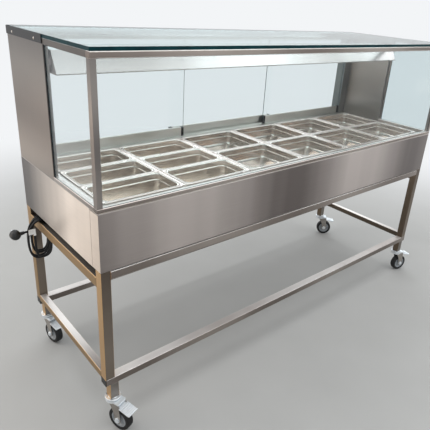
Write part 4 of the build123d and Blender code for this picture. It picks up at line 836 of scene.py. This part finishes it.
# sliding doors: glass in an aluminium rail with a black cap on each end
doors = {"width": 695.0, "starts": {"left": -974.0, "middle": -347.5, "right": 279.0}, "inner": 290.0,
         "outer": 312.0, "base": 929.3, "height": 44.0, "thickness": 14.0, "cap": 16.0, "pane": 5.0,
         "paneClear": 0.15, "paneBase": 945.0, "paneTop": 1391.0, "groove": 4.0, "grooveDepth": 7.5}


def doorRail(y, start, length):
    # section with a groove below for the guide rib and a slot above for the pane
    base, top, half = doors["base"], doors["base"] + doors["height"], doors["thickness"] / 2
    groove, slot = doors["groove"] / 2, doors["pane"] / 2 + doors["paneClear"]
    roof, seat = base + doors["grooveDepth"], doors["paneBase"]
    section = [(-half, base), (-groove, base), (-groove, roof), (groove, roof), (groove, base), (half, base),
               (half, top), (slot, top), (slot, seat), (-slot, seat), (-slot, top), (-half, top)]
    return drawn(section, (start, y, 0), yWay, zWay, length)


for door, start in doors["starts"].items():
    doorBody = "door_" + door
    doorY = doors["outer"] if door == "middle" else doors["inner"]
    end, thin, cap = start + doors["width"], doors["pane"] / 2, doors["cap"]
    pane = block((start, doorY - thin, doors["paneBase"]), (end, doorY + thin, doors["paneTop"]), 0.8, "x")
    edge = doorGlass if door == "middle" else glassEdge  # the middle pane's ends are ground and do not show
    addPiece(door + "DoorGlass", [(edge, None, [pane], ("y", doorGlass, None))], doorBody + "_pane",
             doorBody)
    bar = doorRail(doorY, start + cap, doors["width"] - 2 * cap)
    caps = [doorRail(doorY, start, cap), doorRail(doorY, end - cap, cap)]
    addPiece(door + "DoorRail", [(aluminium, "x", [bar]), (blackPlastic, None, caps)], doorBody + "_rail",
             doorBody, bevel=0.6)
print("doors made")

# controls on the back panel: fluted knob with a painted pointer, and a rocker in a bezel
controls = {"knobX": 700.0, "switchX": 790.0, "height": 815.0, "rockerRest": -9.0, "rockerWide": 21.0,
            "rockerSet": 4.0, "pivotLong": 25.6, "pivot": 1.5, "clear": 0.8}
knobAt = np.array([controls["knobX"], back + controls["clear"], controls["height"]])
skirtProfile = [(0.4, 0), (21.4, 0), (22, 0.6), (22, 3.4), (20.5, 5), (0.4, 5)]
gripProfile = [(0.4, 4), (17.2, 4), (16.9, 12), (16.6, 18.4), (15.6, 19.8), (14.4, 20), (0.4, 20)]
shaftProfile = [(0.3, -15), (3, -15), (3, 1), (0.3, 1)]
pointer = block(knobAt + [-1.2, 19.6, 6], knobAt + [1.2, 20.0, 15], 0.15, "z")
knobShapes = [lathe(skirtProfile, knobAt, yWay, xWay, 64),
              lathe(gripProfile, knobAt, yWay, xWay, 160, lobes=20, swing=0.022),
              lathe(shaftProfile, knobAt, yWay, xWay, 20)]
addPiece("heatKnob", [(blackPlastic, None, knobShapes), (whitePaint, None, [pointer])], "thermostat_knob",
         "knob")
rockerAt = np.array([controls["switchX"], back - controls["rockerSet"], controls["height"]])
rockTurn = np.radians(controls["rockerRest"])
rockerOut = np.array([0, np.cos(rockTurn), np.sin(rockTurn)])
rockerUp = np.array([0, -np.sin(rockTurn), np.cos(rockTurn)])
rockerSection = [(-2, -8), (5, -8.4), (7.5, -8), (6.5, 0), (7.5, 8), (5, 8.4), (-2, 8), (-6, 0)]
pivotSection = arc((0, 0), controls["pivot"], 0, 330, 12)
rockerShapes = [drawn(section, rockerAt - xWay * long / 2, rockerOut, rockerUp, long) for section, long in (
    (rockerSection, controls["rockerWide"]), (pivotSection, controls["pivotLong"]))]
addPiece("rockerSwitch", [(blackPlastic, None, rockerShapes)], "switch_rocker", "rocker",
         bevel=0.6)
print("controls made")

# solids that keep their shape and only take a finish
plainFinishes = {"base_tray": paintedShadeSteel, "rear_panel": steelPlain, "well_tank": tankSteel,
                 "divider_bars": paintedHighlightBarSteel, "heating_elements": elementSheath, "door_tracks": aluminium,
                 "control_box": blackPlastic}
for name, finish in plainFinishes.items():
    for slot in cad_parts[name].material_slots:
        slot.material = finish
print("plain solids finished")

# pale floor that lightens away from the trolley and meets white surroundings, with soft lamps; in metres
stage = {"near": "#b7b7b5", "patch": "#b3b3b1", "far": "#f3f5f7", "nearRadius": 1.6, "farRadius": 3.8,
         "light": 0.8, "floor": 40.0}


def floorFinish(stage):
    # matt and faintly patchy; past nearRadius it blends into the white of the surroundings
    material, tree, place = newMaterial("paleFloor")
    reach = addNode(tree, "ShaderNodeVectorMath", {"operation": "LENGTH"}, links={"Vector": place})
    fade = addNode(tree, "ShaderNodeMapRange", {"interpolation_type": "SMOOTHSTEP"},
                   {"From Min": stage["nearRadius"], "From Max": stage["farRadius"]},
                   {"Value": reach.outputs["Value"]})
    patch = addNode(tree, "ShaderNodeTexNoise", sockets={"Scale": 3.0, "Detail": 3.0},
                    links={"Vector": place})
    tone = addNode(tree, "ShaderNodeValToRGB", links={"Fac": patch.outputs["Fac"]},
                   tones=((0.3, stage["patch"]), (0.7, stage["near"])))
    matt = addNode(tree, "ShaderNodeBsdfPrincipled", sockets={"Roughness": 0.85, "Specular IOR Level": 0.2},
                   links={"Base Color": tone.outputs["Color"]})
    glow = addNode(tree, "ShaderNodeEmission", sockets={"Color": linear(stage["far"]), "Strength": 1.0})
    blend = addNode(tree, "ShaderNodeMixShader", links={
        0: fade.outputs["Result"], 1: matt.outputs["BSDF"], 2: glow.outputs["Emission"]})
    addNode(tree, "ShaderNodeOutputMaterial", links={"Surface": blend.outputs["Shader"]})
    return material


def setSurroundings(stage):
    # white to the camera and in mirrored and bent light, a little dimmer in the light that they give
    world = bpy.data.worlds.new("surroundings")
    bpy.context.scene.world = world
    world.use_nodes = True
    tree = world.node_tree
    tree.nodes.clear()
    rays = addNode(tree, "ShaderNodeLightPath")
    mirrored = addNode(tree, "ShaderNodeMath", {"operation": "MAXIMUM"}, links={
        0: rays.outputs["Is Glossy Ray"], 1: rays.outputs["Is Transmission Ray"]})
    seen = addNode(tree, "ShaderNodeMath", {"operation": "MAXIMUM"}, links={
        0: rays.outputs["Is Camera Ray"], 1: mirrored.outputs["Value"]})
    level = addNode(tree, "ShaderNodeMapRange", sockets={"To Min": stage["light"], "To Max": 1.0},
                    links={"Value": seen.outputs["Value"]})
    sky = addNode(tree, "ShaderNodeBackground", sockets={"Color": linear(stage["far"])},
                  links={"Strength": level.outputs["Result"]})
    addNode(tree, "ShaderNodeOutputWorld", links={"Surface": sky.outputs["Background"]})


floorMesh = bpy.data.meshes.new("floor")
floorCorners = [(x * stage["floor"], y * stage["floor"], 0) for x, y in ((-1, -1), (1, -1), (1, 1), (-1, 1))]
floorMesh.from_pydata(floorCorners, [], [(0, 1, 2, 3)])
floorMesh.materials.append(floorFinish(stage))
floor = addObject("floor", floorMesh)
setSurroundings(stage)

# place, turn in degrees, size in metres, power in watts, colour
lamps = {"overhead": ((-0.2, -0.2, 3.2), (0, 0, 0), (3.6, 2.2), 40, "#ffffff"),
         "frontAbove": ((3.4, -3.2, 3.9), (52, 0, 20), (7.5, 1.3), 56, "#ffffff"),
         "backWall": ((3.0, 3.6, 3.3), (80, 0, 137), (6.0, 2.4), 75, "#f4fbff"),
         "leftAbove": ((-2.8, 1.9, 2.2), (0, -52, -38), (1.8, 1.8), 22, "#fffaf4"),
         "leftLow": ((-2.9, 1.0, 0.45), (0, -88, -25), (0.6, 1.6), 7, "#ffe6cc")}
for name, (place, lean, size, power, colour) in lamps.items():
    data = bpy.data.lights.new(name, "AREA")
    data.shape = "RECTANGLE"
    data.size, data.size_y = size
    data.energy = power
    data.color = linear(colour)[:3]
    lamp = addObject(name, data)
    lamp.location = place
    lamp.rotation_euler = np.radians(lean)
    lamp.visible_camera = False

bpy.context.scene.view_settings.view_transform = "Standard"
print("lights set")
